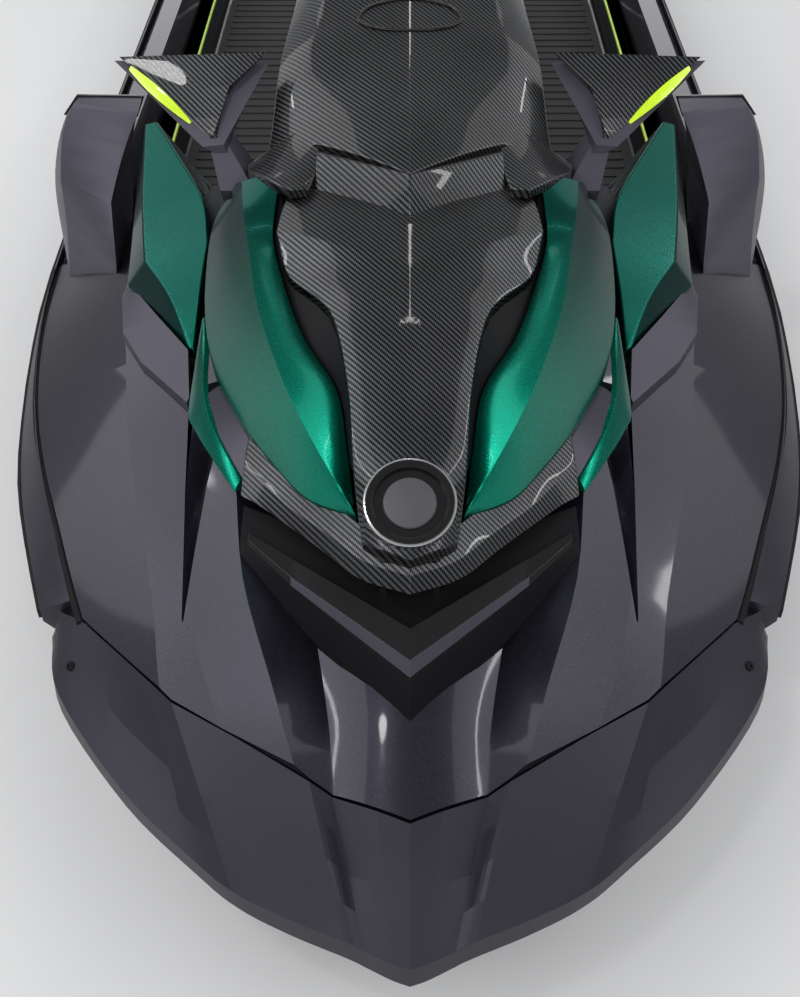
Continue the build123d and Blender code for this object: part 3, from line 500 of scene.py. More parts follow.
@dataclass(frozen=True)
class FoamMat:
    """Closed-cell foam traction mat with a brushed top."""

    def build(self) -> bpy.types.Material:
        """Builds the shader.

        Returns:
            The material.
        """
        g = Graph("foam_mat")
        nap = g.noise(700.0, 4.0)
        colour = g.mix(nap, (0.012, 0.012, 0.013), (0.05, 0.05, 0.053))
        return g.finish(Base_Color=colour, Roughness=0.82 + nap * 0.1, Normal=g.bump(nap, 0.0004, 0.8))


class Finish(Enum):
    """The finishes, by the record's material slots."""

    hull_shell = MetallicPaint("hull_black", (0.02, 0.021, 0.023), (0.008, 0.008, 0.01),
                               flake=0.2, metallic=0.25, roughness=0.3)
    deck_shell = MetallicPaint("deck_grey", (0.036, 0.034, 0.05), (0.008, 0.008, 0.012),
                               flake=0.6, metallic=0.75, roughness=0.3, gloss=1.28)
    bumper = MouldedPlastic("bumper_satin", (0.029, 0.027, 0.036), 1400.0, 0.00002, 0.42, metallic=0.6)
    carbon = CarbonTwill()
    # the emerald paint carries painted shade, deeper aft towards the cowl and on faces that point outboard
    green_paint = MetallicPaint("emerald_metallic", (0.0, 0.26, 0.165), (0.0, 0.016, 0.018),
                                flake=0.5, metallic=0.9, roughness=0.24, coat=0.8, gloss=1.16,
                                fade=(-1.15, -0.85))
    # trim: satin purple-grey for buttons and stitches, also laid on the chin wing's forward faces as painted
    # highlight
    trim = MouldedPlastic("trim_satin", (0.056, 0.052, 0.068), 1200.0, 0.00003, 0.42, metallic=0.4)
    black_plastic = MouldedPlastic("black_grained", (0.005, 0.005, 0.006), 800.0, 0.0001, 0.5, shine=0.1)
    gloss_black = MouldedPlastic("black_gloss", (0.003, 0.003, 0.0035), 1500.0, 0.00001, 0.16, coat=0.8)
    mirror = MirrorGlass()
    lime = Reflector()
    badge = Metal("badge_satin", (0.16, 0.16, 0.17), 0.42, 300.0, (1, 1, 1))
    seat_vinyl = SeatVinyl()
    mat_foam = FoamMat()
    rubber = MouldedPlastic("grip_rubber", (0.012, 0.012, 0.012), 500.0, 0.00015, 0.72)
    steel = Metal("stainless", (0.62, 0.62, 0.63), 0.22)
    aluminium = Metal("cast_aluminium", (0.4, 0.41, 0.42), 0.42, 350.0, (1, 1, 1), 0.00012)
    engine = Metal("engine_casting", (0.3, 0.3, 0.31), 0.55, 250.0, (1, 1, 1), 0.0002)
    black_bar = MouldedPlastic("powder_coat", (0.012, 0.012, 0.013), 1600.0, 0.00008, 0.42, coat=0.1)


MATERIALS = {finish.name: finish.value.build() for finish in Finish}


# ---------------------------------------------------------------- measuring the frame
Rows = Sequence[tuple[float, ...]]
BOW_Y = -1659            # millimetres, the bow's tip from the middle of the craft
TREES: dict[str, BVHTree] = {}


def surface(node: str, spot: Sequence[float], aim: Sequence[float]) -> tuple[Vector, Vector]:
    """Where a line from a spot first meets a CAD node.

    Args:
        node: the CAD node.
        spot: start of the line.
        aim: its direction.

    Returns:
        The place, and the normal there, towards the spot.
    """
    if node not in TREES:
        mesh = frame["nodes"][node].data
        TREES[node] = BVHTree.FromPolygons([v.co for v in mesh.vertices], [p.vertices for p in mesh.polygons])
    aim = Vector(aim).normalized()
    place, normal, _, _ = TREES[node].ray_cast(Vector(spot), aim)
    if place is None:
        raise ValueError(f"{node} isn't met from {tuple(spot)}")
    return place, -normal if normal.dot(aim) > 0 else normal


def flat(node: str, toward: Sequence[float]) -> tuple[Vector, Vector]:
    """Finds a CAD node's largest flat that faces a direction.

    Args:
        node: the CAD node.
        toward: the direction, of about unit length.

    Returns:
        The flat's centre and normal.
    """
    sums: dict[tuple, list] = {}
    for face in frame["nodes"][node].data.polygons:
        if face.normal.dot(Vector(toward)) > 0.5:
            key = tuple(round(c, 2) for c in face.normal)
            total = sums.setdefault(key, [0.0, Vector(), face.normal.copy()])
            total[0] += face.area
            total[1] += face.center * face.area
    area, weighted, normal = max(sums.values(), key=lambda total: total[0])
    return weighted / area, normal


def limb(node: str, side: int) -> tuple[Vector, Vector]:
    """Finds the ends of the bar along X that a node has on one side.

    Args:
        node: the CAD node.
        side: 1 for port, -1 for starboard.

    Returns:
        Its inner and its outer end.
    """
    points = [v.co for v in frame["nodes"][node].data.vertices if v.co.x * side > 0]
    points.sort(key=lambda point: point.x * side)
    share = max(3, len(points) // 8)
    ends = []
    for group in (points[:share], points[-share:]):
        ends.append(sum(group, Vector()) / len(group))
    return ends[0], ends[1]


# ---------------------------------------------------------------- modelling tools
def alone(piece: bpy.types.Object) -> None:
    """Makes a piece the only selected and the active one, in object mode.

    Args:
        piece: the piece.
    """
    if bpy.context.object and bpy.context.object.mode != "OBJECT":
        bpy.ops.object.mode_set(mode="OBJECT")
    bpy.ops.object.select_all(action="DESELECT")
    piece.select_set(True)
    bpy.context.view_layer.objects.active = piece


def nothing() -> None:
    """Leaves nothing selected, before a primitive is added."""
    alone(frame["nodes"]["hull"])
    bpy.ops.object.select_all(action="DESELECT")


def apply_all(piece: bpy.types.Object) -> None:
    """Applies every modifier of a piece, in order.

    Args:
        piece: the piece.
    """
    alone(piece)
    for modifier in list(piece.modifiers):
        bpy.ops.object.modifier_apply(modifier=modifier.name)


def settle(piece: bpy.types.Object) -> None:
    """Puts a piece's place into its mesh, merges its doubles and points its faces outwards.

    Args:
        piece: the piece.
    """
    alone(piece)
    bpy.ops.object.transform_apply(location=True, rotation=True, scale=True)
    bpy.ops.object.mode_set(mode="EDIT")
    bpy.ops.mesh.select_all(action="SELECT")
    bpy.ops.mesh.remove_doubles(threshold=0.00001)
    bpy.ops.mesh.normals_make_consistent(inside=False)
    bpy.ops.object.mode_set(mode="OBJECT")


def pick_faces(piece: bpy.types.Object, test: Callable[[Vector, Vector], bool]) -> int:
    """Opens a piece in edit mode with the faces selected that pass a test.

    Args:
        piece: the piece.
        test: from a face's centre and normal, whether it is picked.

    Returns:
        How many were picked.
    """
    alone(piece)
    bpy.ops.object.mode_set(mode="EDIT")
    bpy.ops.mesh.select_mode(type="FACE")
    bpy.ops.mesh.select_all(action="DESELECT")
    mesh = bmesh.from_edit_mesh(piece.data)
    count = 0
    for face in mesh.faces:
        if test(face.calc_center_median(), face.normal):
            face.select_set(True)
            count += 1
    bmesh.update_edit_mesh(piece.data)
    return count


def shade(piece: bpy.types.Object, angle: float = 30.0) -> bpy.types.Object:
    """Shades a piece smooth but for its sharp edges.

    Args:
        piece: the piece.
        angle: the least angle of a sharp edge, in degrees.

    Returns:
        The same piece.
    """
    alone(piece)
    bpy.ops.object.shade_smooth_by_angle(angle=math.radians(angle))
    return piece


def place(piece: bpy.types.Object, body: str, slot: str, stands_for: Sequence[str] = ()) -> bpy.types.Object:
    """Gives a piece its finish, its body and the CAD nodes that it stands for, and reports it.

    Args:
        piece: the piece.
        body: the body that it rides on.
        slot: its material slot.
        stands_for: the CAD nodes that it replaces, if any.

    Returns:
        The same piece.
    """
    if not piece.data.materials:
        piece.data.materials.append(MATERIALS[slot])
    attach(piece, body)
    if stands_for:
        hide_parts(*stands_for)
    LOG.info("%s rides %s: %d faces", piece.name, body, len(piece.data.polygons))
    return piece


def bare_copy(node: str, suffix: str = "_skin", flats: bool = True) -> bpy.types.Object:
    """Copies a CAD node's mesh and welds it.

    Args:
        node: the CAD node.
        suffix: what the piece's name adds to the node's.
        flats: whether the facets of a flat are joined.

    Returns:
        The copy, free of body and finish.
    """
    source = frame["nodes"][node]
    piece = source.copy()
    piece.data = source.data.copy()
    piece.name = node + suffix
    piece.parent = None
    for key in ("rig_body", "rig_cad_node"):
        if key in piece:
            del piece[key]
    bpy.context.scene.collection.objects.link(piece)
    piece.hide_render = piece.hide_viewport = False
    piece.hide_set(False)
    piece.data.materials.clear()
    alone(piece)
    bpy.ops.object.mode_set(mode="EDIT")
    bpy.ops.mesh.select_all(action="SELECT")
    bpy.ops.mesh.remove_doubles(threshold=0.0001)
    bpy.ops.mesh.customdata_custom_splitnormals_clear()
    if flats:
        bpy.ops.mesh.dissolve_limited(angle_limit=math.radians(0.4))
    bpy.ops.object.mode_set(mode="OBJECT")
    return piece


def straightened(piece: bpy.types.Object, creases: set, rounds: int) -> None:
    """Eases the corners along a piece's crease lines, where they turn only a little.

    Args:
        piece: the piece.
        creases: its creases' edges, each as two vertex numbers in order.
        rounds: how many times the corners are eased.
    """
    mesh = bmesh.new()
    mesh.from_mesh(piece.data)
    chains = []
    for vertex in mesh.verts:
        edges = [edge for edge in vertex.link_edges if tuple(sorted(v.index for v in edge.verts)) in creases]
        if len(edges) == 2:
            first, second = (edge.other_vert(vertex) for edge in edges)
            if (vertex.co - first.co).angle(second.co - vertex.co, 0.0) < math.radians(28):
                chains.append((vertex, first, second))
    for _ in range(rounds):
        moved = [(first.co + second.co) / 4 + vertex.co / 2 for vertex, first, second in chains]
        for (vertex, _, _), spot in zip(chains, moved):
            vertex.co = spot
    mesh.to_mesh(piece.data)
    mesh.free()


def faired(piece: bpy.types.Object, angle: float, rounds: int) -> bpy.types.Object:
    """Draws a faceted skin taut between its creases.

    Args:
        piece: the piece.
        angle: the least angle of a crease, in degrees.
        rounds: how many times the skin is eased.

    Returns:
        The same piece.
    """
    alone(piece)
    bpy.ops.object.mode_set(mode="EDIT")
    bpy.ops.mesh.select_mode(type="EDGE")
    bpy.ops.mesh.select_all(action="SELECT")
    bpy.ops.mesh.subdivide(number_cuts=1)
    bpy.ops.mesh.select_all(action="DESELECT")
    bpy.ops.mesh.edges_select_sharp(sharpness=math.radians(angle))
    bpy.ops.object.mode_set(mode="OBJECT")
    creases = {tuple(sorted(edge.vertices)) for edge in piece.data.edges if edge.select}
    held = {index for edge in creases for index in edge}
    straightened(piece, creases, rounds // 5)
    between = piece.vertex_groups.new(name="between")
    between.add([v.index for v in piece.data.vertices if v.index not in held], 1.0, "REPLACE")
    taut = piece.modifiers.new("taut", "SMOOTH")
    taut.factor, taut.iterations, taut.vertex_group = 0.5, rounds, between.name
    apply_all(piece)
    piece.vertex_groups.clear()
    return piece


@dataclass(frozen=True)
class Edge:
    """How a piece's edges are rounded."""

    width: float = 0.0015          # metres
    angle: float = 30.0            # the least angle of an edge that is rounded, in degrees
    segments: int = 2
    fairing: int = 0               # how many times the skin between the edges is eased


def rounded(piece: bpy.types.Object, edge: Edge) -> bpy.types.Object:
    """Rounds a piece's sharp edges and shades it smooth.

    Args:
        piece: the piece.
        edge: how its edges are rounded.

    Returns:
        The same piece.
    """
    bevel = piece.modifiers.new("edges", "BEVEL")
    bevel.width = edge.width
    bevel.segments = edge.segments
    bevel.limit_method = "ANGLE"
    bevel.angle_limit = math.radians(edge.angle)
    bevel.use_clamp_overlap = True
    alone(piece)
    bpy.ops.object.shade_smooth()
    if not edge.fairing:
        normals = piece.modifiers.new("normals", "WEIGHTED_NORMAL")
        normals.keep_sharp = True
    apply_all(piece)
    return piece


def dressed(node: str, edge: Edge = Edge(), slot: Optional[str] = None) -> bpy.types.Object:
    """Smooth, round-edged copy of a CAD node in its finish.

    Args:
        node: the CAD node.
        edge: how its edges are rounded.
        slot: the finish, by default the node's own.

    Returns:
        The piece, which stands for the node.
    """
    piece = bare_copy(node, flats=not edge.fairing)
    if edge.fairing:
        faired(piece, edge.angle, edge.fairing)
    rounded(piece, edge)
    return place(piece, NODE_BODY[node], slot or NODE_SLOT[node], [node])


def repaint(piece: bpy.types.Object, slot: str, test: Callable[[Vector, Vector], bool]) -> None:
    """Gives the faces that pass a test another finish.

    Args:
        piece: the piece.
        slot: the other finish.
        test: from a face's centre and normal, whether it is repainted.
    """
    pick_faces(piece, test)
    piece.data.materials.append(MATERIALS[slot])
    piece.active_material_index = len(piece.data.materials) - 1
    bpy.ops.object.material_slot_assign()
    bpy.ops.object.mode_set(mode="OBJECT")


def run(points: Sequence[Sequence[float]], spans: int, breaks: Sequence[int] = ()) -> list[tuple]:
    """Rows of numbers with more put between them along curves that don't overshoot.

    Args:
        points: the rows.
        spans: how many steps lie between two of them.
        breaks: rows where the curves have a corner.

    Returns:
        All the rows.
    """
    if breaks:
        first, *others = breaks
        return run(points[:first + 1], spans)[:-1] + run(points[first:], spans, [b - first for b in others])
    last = len(points) - 1

    def slope(i: int, k: int) -> float:
        """Finds a slope, no steeper than lets the curve stay between its neighbours.

        Args:
            i: the row.
            k: which of the row's numbers.

        Returns:
            The number's change per row.
        """
        before = points[i][k] - points[i - 1][k] if i else points[1][k] - points[0][k]
        after = points[i + 1][k] - points[i][k] if i < last else points[last][k] - points[last - 1][k]
        if before * after <= 0:
            return 0.0
        steepest = 3 * min(abs(before), abs(after))
        return max(-steepest, min(steepest, (before + after) / 2))

    rows = []
    for i in range(last):
        for step in range(spans):
            t = step / spans
            rows.append(tuple((1 - t) ** 2 * (1 + 2 * t) * a + t * t * (3 - 2 * t) * b
                              + t * (1 - t) ** 2 * slope(i, k) - t * t * (1 - t) * slope(i + 1, k)
                              for k, (a, b) in enumerate(zip(points[i], points[i + 1]))))
    return rows + [tuple(points[last])]


def at(behind: float, out: float, up: float) -> Vector:
    """Place from its distance behind the bow, half-breadth and height, all in millimetres."""
    return Vector((out, BOW_Y + behind, up)) / 1000


def sheet_mesh(name: str, lines: Sequence[Sequence[Vector]], closed: bool = False) -> bpy.types.Object:
    """Makes a skin of quads through lines that have as many points each.

    Args:
        name: the piece's name.
        lines: the lines, side by side.
        closed: whether the skin goes round from the last line to the first, with its ends capped.

    Returns:
        The piece, its faces outwards or, where it is open, upwards.
    """
    count, width = len(lines[0]), len(lines)
    vertices = [point for line in lines for point in line]
    faces = []
    for i in range(width if closed else width - 1):
        j = (i + 1) % width
        for k in range(count - 1):
            faces.append((i * count + k, i * count + k + 1, j * count + k + 1, j * count + k))
    if closed:
        faces += [tuple(i * count for i in range(width)), tuple(i * count + count - 1 for i in range(width))]
    mesh = bpy.data.meshes.new(name)
    mesh.from_pydata(vertices, [], faces)
    piece = bpy.data.objects.new(name, mesh)
    bpy.context.scene.collection.objects.link(piece)
    alone(piece)
    bpy.ops.object.mode_set(mode="EDIT")
    bpy.ops.mesh.select_all(action="SELECT")
    bpy.ops.mesh.remove_doubles(threshold=0.00001)
    bpy.ops.mesh.normals_make_consistent(inside=False)
    bpy.ops.object.mode_set(mode="OBJECT")
    if not closed and sum(face.normal.z * face.area for face in mesh.polygons) < 0:
        mesh.flip_normals()
    return piece


@dataclass(frozen=True)
class Moulding:
    """Moulded panel through its edges and creases, with its twin to starboard."""

    node: str
    edges: tuple[Rows, ...]
    shift: Point = (0, 0, -18)     # from its outer face to its inner, in millimetres
    centre: bool = False           # whether its two sides meet on the centreline
    crown: float = 1.5             # how far a facet swells, in millimetres
    breaks: tuple[int, ...] = ()
    edge: float = 0.002
    spans: int = 6
    fill: int = 5

    def build(self) -> bpy.types.Object:
        """Builds the panel.

        Returns:
            The finished piece, in its node's place.
        """
        smooth = [[at(*point) for point in run(edge, self.spans, self.breaks)] for edge in self.edges]
        outer = [smooth[0]]
        for first, second in zip(smooth, smooth[1:]):
            for step in range(1, self.fill + 1):
                share = step / self.fill
                bulge = Vector((0, 0, self.crown * 0.004 * share * (1 - share)))
                outer.append([a.lerp(b, share) + bulge for a, b in zip(first, second)])
        depth = Vector((self.shift[1], self.shift[0], self.shift[2])) / 1000
        inner = [[point + depth for point in line] for line in reversed(outer)]
        piece = sheet_mesh(f"{self.node}_skin", outer + inner, closed=True)
        if self.centre:
            open_middle(piece)
        twin = piece.modifiers.new("twin", "MIRROR")
        twin.use_mirror_merge = self.centre
        twin.merge_threshold = 0.0004
        rounded(piece, Edge(self.edge, 11, 3))
        return place(piece, NODE_BODY[self.node], NODE_SLOT[self.node], [self.node])


def open_middle(piece: bpy.types.Object) -> None:
    """Takes off the faces that lie on the centreline, where a half meets its twin.

    Args:
        piece: the half.
    """
    pick_faces(piece, lambda spot, normal: abs(spot.x) < 0.0005 and abs(normal.x) > 0.7)
    bpy.ops.mesh.delete(type="FACE")
    bpy.ops.object.mode_set(mode="OBJECT")


def turned(name: str, profile: Sequence[tuple[float, float]], steps: int = 32) -> bpy.types.Object:
    """Piece turned about Z.

    Args:
        name: the piece's name.
        profile: radius and height along its outline, from the foot up, where radius 0 ends it in a pole.
        steps: facets round it.

    Returns:
        The closed piece, at the origin.
    """
    nothing()
    radius, height = profile[0]
    bpy.ops.mesh.primitive_circle_add(vertices=steps, radius=radius, fill_type="NGON",
                                      location=(0, 0, height))
    piece = bpy.context.object
    piece.name = name
    bpy.ops.object.transform_apply(location=True, rotation=True, scale=True)
    bpy.ops.object.mode_set(mode="EDIT")
    bpy.ops.mesh.select_mode(type="FACE")
    bpy.ops.mesh.select_all(action="SELECT")
    for wide, high in profile[1:]:
        bpy.ops.mesh.extrude_region_move(TRANSFORM_OT_translate={"value": (0, 0, high - height)})
        if wide == 0:
            bpy.ops.mesh.merge(type="CENTER")
            break
        share = wide / radius
        bpy.ops.transform.resize(value=(share, share, 1), center_override=(0, 0, high))
        radius, height = wide, high
    bpy.ops.object.mode_set(mode="OBJECT")
    settle(piece)
    return shade(piece, 35)


def set_out(name: str, pattern: bpy.types.Object,
            places: Sequence[tuple[Vector, Vector]]) -> bpy.types.Object:
    """Copies of a pattern, made at the origin along Z, joined in one piece.

    Args:
        name: the joined piece's name.
        pattern: the piece that is copied, and then removed.
        places: where each copy stands and where its Z points.

    Returns:
        The joined piece, its place in its mesh.
    """
    copies = []
    for spot, aim in places:
        copy = pattern.copy()
        copy.data = pattern.data.copy()
        bpy.context.scene.collection.objects.link(copy)
        turn = Vector(aim).to_track_quat("Z", "Y").to_matrix().to_4x4()
        copy.matrix_world = Matrix.Translation(spot) @ turn
        copies.append(copy)
    bpy.data.objects.remove(pattern)
    alone(copies[0])
    for copy in copies:
        copy.select_set(True)
    if len(copies) > 1:
        bpy.ops.object.join()
    piece = bpy.context.view_layer.objects.active
    piece.name = name
    bpy.ops.object.transform_apply(location=True, rotation=True, scale=True)
    return piece


def tube(name: str, points: Sequence[Vector], radius: float, closed: bool = False) -> bpy.types.Object:
    """Lays round trim along a smooth line.

    Args:
        name: the piece's name.
        points: the line's control points.
        radius: the trim's.
        closed: whether the line runs round to its start.

    Returns:
        The trim, as a closed mesh.
    """
    line = bpy.data.curves.new(name, "CURVE")
    line.dimensions = "3D"
    line.bevel_depth = radius
    line.bevel_resolution = 2
    line.use_fill_caps = True
    spline = line.splines.new("NURBS")
    spline.points.add(len(points) - 1)
    for point, spot in zip(spline.points, points):
        point.co = (*spot, 1.0)
    spline.order_u = 3
    spline.use_endpoint_u = not closed
    spline.use_cyclic_u = closed
    spline.resolution_u = 3
    piece = bpy.data.objects.new(name, line)
    bpy.context.scene.collection.objects.link(piece)
    alone(piece)
    bpy.ops.object.convert(target="MESH")
    settle(piece)
    return shade(piece, 50)


def both_sides(piece: bpy.types.Object) -> bpy.types.Object:
    """Adds a piece's twin across the centre plane.

    Args:
        piece: the piece.

    Returns:
        The same piece, now with both sides.
    """
    twin = piece.modifiers.new("twin", "MIRROR")
    twin.use_mirror_merge = False
    apply_all(piece)
    return piece


def slab(name: str, size: Point, corner: float, crown: float = 0.0) -> bpy.types.Object:
    """Plate with round corners and edges, its foot at the origin and its face up.

    Args:
        name: the piece's name.
        size: length along X, width along Y and thickness along Z.
        corner: radius of its corners.
        crown: how far its middle stands proud of its rim.

    Returns:
        The piece, at the origin.
    """
    nothing()
    bpy.ops.mesh.primitive_grid_add(x_subdivisions=13, y_subdivisions=9, size=1)
    piece = bpy.context.object
    piece.name = name
    for vertex in piece.data.vertices:
        x, y = vertex.co.x * size[0], vertex.co.y * size[1]
        over_x, over_y = abs(x) - (size[0] / 2 - corner), abs(y) - (size[1] / 2 - corner)
        if over_x > 0 and over_y > 0:
            pull = max(over_x, over_y) / math.hypot(over_x, over_y)
            x -= math.copysign(over_x * (1 - pull), x)
            y -= math.copysign(over_y * (1 - pull), y)
        vertex.co = (x, y, crown * (1 - (2 * x / size[0]) ** 2) * (1 - (2 * y / size[1]) ** 2))
    thick = piece.modifiers.new("thick", "SOLIDIFY")
    thick.thickness = size[2]
    thick.offset = 1.0
    bevel = piece.modifiers.new("edge", "BEVEL")
    bevel.width = min(0.3 * size[2], 0.002)
    bevel.segments = 2
    bevel.angle_limit = math.radians(50)
    apply_all(piece)
    settle(piece)
    return shade(piece, 40)


# ---------------------------------------------------------------- fasteners
@dataclass(frozen=True)
class Screw:
    """Button-headed screw on its washer."""

    head: float = 0.006
    facets: int = 18

    def pattern(self, name: str) -> bpy.types.Object:
        """Makes one screw.

        Args:
            name: the piece's name.

        Returns:
            The screw, at the origin along Z.
        """
        r = self.head
        washer = 1.35 * r
        return turned(name, [(washer, -0.002), (washer, 0.0012), (r, 0.0014), (0.96 * r, 0.4 * r),
                             (0.75 * r, 0.6 * r), (0.45 * r, 0.66 * r), (0.42 * r, 0.25 * r),
                             (0, 0.22 * r)], self.facets)

    def fit(self, name: str, body: str, places: Sequence[tuple[Vector, Vector]], slot: str = "steel") -> None:
        """Fits a screw at each place, standing along its aim."""
        place(set_out(name, self.pattern(name), places), body, slot)


def screwed(name: str, node: str, spots: Sequence[Point], aim: Point, head: float = 0.006,
            slot: str = "steel") -> None:
    """Fits screws where lines from spots meet a CAD node, on its body."""
    Screw(head).fit(name, NODE_BODY[node], [surface(node, spot, aim) for spot in spots], slot)


# ---------------------------------------------------------------- hood and nose
@dataclass
class Hood:
    """Opening front hood: carbon spine, cowl and lip, painted flanks, and a plain round badge."""

    badge_radius: float = 0.049
    rim: float = 0.0095
    oval: tuple[float, float] = (0.068, 0.027)
    badge_facets: int = 72
    oval_y: float = -0.595
    oval_points: int = 28
    oval_cord: float = 0.0021
    cowl_half: float = 0.122
    cowl_crown: float = 0.003
    spine_centre: Rows = (
        (352, 0, 420), (412, 0, 438), (470, 0, 459), (560, 0, 490), (640, 0, 519), (676, 0, 530),
        (702, 0, 537), (760, 0, 550), (830, 0, 560),)
    spine_crease: Rows = (
        (366, 30, 417), (418, 32, 434), (470, 36, 456), (560, 42, 489), (644, 56, 516), (698, 84, 524),
        (738, 90, 541), (784, 86, 550), (842, 84, 558),)
    spine_edge: Rows = (
        (385, 52, 404), (425, 58, 412), (470, 64, 444), (560, 72, 480), (655, 96, 506),
        (718, 148, 506), (775, 166, 532), (812, 160, 542), (856, 148, 552),)
    flank_inner: Rows = (
        (426, 60, 399), (446, 64, 406), (500, 72, 432), (570, 86, 458), (640, 128, 478),
        (724, 158, 500), (785, 172, 526), (856, 166, 560),)
    flank_crease: Rows = (
        (428, 62, 401), (468, 93, 438), (515, 123, 466), (575, 151, 485), (662, 181, 505),
        (742, 197, 524), (810, 210, 535), (868, 218, 543),)
    flank_outer: Rows = (
        (430, 65, 398), (462, 116, 388), (505, 152, 386), (590, 210, 390), (680, 254, 406),
        (775, 268, 446), (850, 262, 486), (892, 238, 516),)
    cowl_centre: Rows = (
        (806, 0, 592), (900, 0, 622), (1035, 0, 660), (1093, 0, 678), (1160, 0, 702), (1225, 0, 722),)
    cowl_crease: Rows = (
        (890, 118, 584), (940, 124, 602), (1020, 128, 640), (1075, 118, 660), (1150, 112, 688),
        (1225, 108, 708),)
    cowl_edge: Rows = (
        (906, 190, 548), (950, 184, 566), (1022, 176, 612), (1080, 168, 632), (1150, 162, 640),
        (1225, 158, 648),)
    lip_top: Rows = (
        (368, 0, 408), (398, 50, 398), (446, 92, 388), (482, 128, 384), (530, 165, 382),
        (572, 195, 384),)
    lip_crease: Rows = (
        (345, 0, 400), (374, 53, 391), (420, 97, 382), (462, 141, 375), (502, 174, 371),
        (532, 200, 370),)
    lip_foot: Rows = (
        (333, 0, 383), (360, 55, 374), (405, 100, 366), (451, 149, 360), (480, 180, 355),
        (497, 203, 352),)
    step_foot: Rows = (
        (776, 0, 552), (802, 60, 551), (830, 122, 550),)
    step_edge: Rows = (
        (806, 0, 592), (837, 59, 588), (868, 118, 584),)
    leg_inner: Rows = (
        (822, 126, 561), (850, 119, 569), (889, 116, 582), (930, 120, 597),)
    leg_outer: Rows = (
        (817, 149, 563), (845, 182, 561), (880, 208, 551), (912, 216, 540),)
    strip_top: Rows = (
        (522, 206, 352), (560, 229, 364), (600, 250, 380), (644, 262, 392), (692, 264, 408),
        (738, 267, 426),)
    strip_low: Rows = (
        (509, 213, 345), (560, 246, 350), (600, 271, 357), (630, 283, 363), (690, 277, 395),
        (738, 271, 422),)

    def build(self) -> None:
        """Builds and dresses the hood."""
        mouldings = (
            Moulding("hood_spine", (self.spine_centre, self.spine_crease, self.spine_edge),
                     centre=True, breaks=(6,)),
            Moulding("hood_cowl", (self.cowl_centre, self.cowl_crease, self.cowl_edge), centre=True, crown=3),
            Moulding("hood_flanks", (self.flank_inner, self.flank_crease, self.flank_outer),
                     crown=2.5, edge=0.0016),
            Moulding("nose_lip", (self.lip_top, self.lip_crease, self.lip_foot),
                     shift=(14, 0, 2), centre=True, crown=0.5),
            Moulding("cowl_step", (self.step_foot, self.step_edge),
                     shift=(44, 0, -16), centre=True, crown=0, spans=3),
            Moulding("cowl_legs", (self.leg_inner, self.leg_outer), shift=(0, 0, -14)),
            Moulding("side_strips", (self.strip_top, self.strip_low), shift=(4, -6, -2), edge=0.001),
        )
        for moulding in mouldings:
            moulding.build()
        for node in ("vent_floors", "cowl_liner", "hood_brackets", "hinge_arms"):
            dressed(node)
        self.badge()
        self.cowl_oval()

    def badge(self) -> None:
        """Gloss black ring with a thin bright bezel round a plain satin disc."""
        centre, normal = flat("nose_badge", (0, -0.4, 0.9))
        turn = [(centre, normal)]
        r, w = self.badge_radius, self.rim
        ring = turned("badge_ring", [(r, -0.004), (r, 0.006), (r - 0.002, 0.0085), (r - w * 0.7, 0.0085),
                                     (r - w, 0.006), (r - w, 0.001), (0, 0.001)], self.badge_facets)
        place(set_out("badge_ring", ring, turn), "hood", "gloss_black", ["nose_badge"])
        bezel = turned("badge_bezel", [(r + 0.0012, -0.004), (r + 0.0012, 0.0062), (r + 0.0004, 0.0072),
                                       (r - 0.0012, 0.0074), (r - 0.0014, 0.006), (r - 0.003, -0.002)],
                       self.badge_facets)
        place(set_out("badge_bezel", bezel, turn), "hood", "steel")
        d = (r - w) * 0.74
        disc = turned("badge_disc", [(d, 0.0), (d, 0.003), (d - 0.0012, 0.0042), (d - 0.004, 0.0044),
                                     (0, 0.0046)], self.badge_facets)
        place(set_out("badge_disc", disc, turn), "hood", "badge")

    def cowl_oval(self) -> None:
        """Plain raised oval on the cowl, its field bare."""
        long, wide = self.oval
        spots = []
        for step in range(self.oval_points):
            turn = 2 * math.pi * step / self.oval_points
            x, y = long * math.cos(turn), self.oval_y + wide * math.sin(turn)
            spot, normal = surface("hood_cowl", (x, y, 2.0), (0, 0, -1))
            crown = self.cowl_crown * max(0.0, 1 - (abs(x) / self.cowl_half - 0.5) ** 2 * 4)
            spots.append(spot + normal * (0.0005 + crown))
        place(tube("cowl_oval", spots, self.oval_cord, closed=True), "hood", "gloss_black")


# ---------------------------------------------------------------- mirrors
@dataclass
class Mirrors:
    """Mirrors on stalks: carbon caps, satin housings, lime reflectors and glass."""

    edges: dict[str, Edge] = field(default_factory=lambda: {
        "mirror_caps": Edge(0.004, 14, 3), "mirror_housings": Edge(0.003, 18, 3),
        "mirror_reflectors": Edge(0.0012, 25, 2, 30), "mirror_glass": Edge(0.0006, 30, 2)})

    def build(self) -> None:
        """Dresses the mirrors."""
        for node, edge in self.edges.items():
            dressed(node, edge)


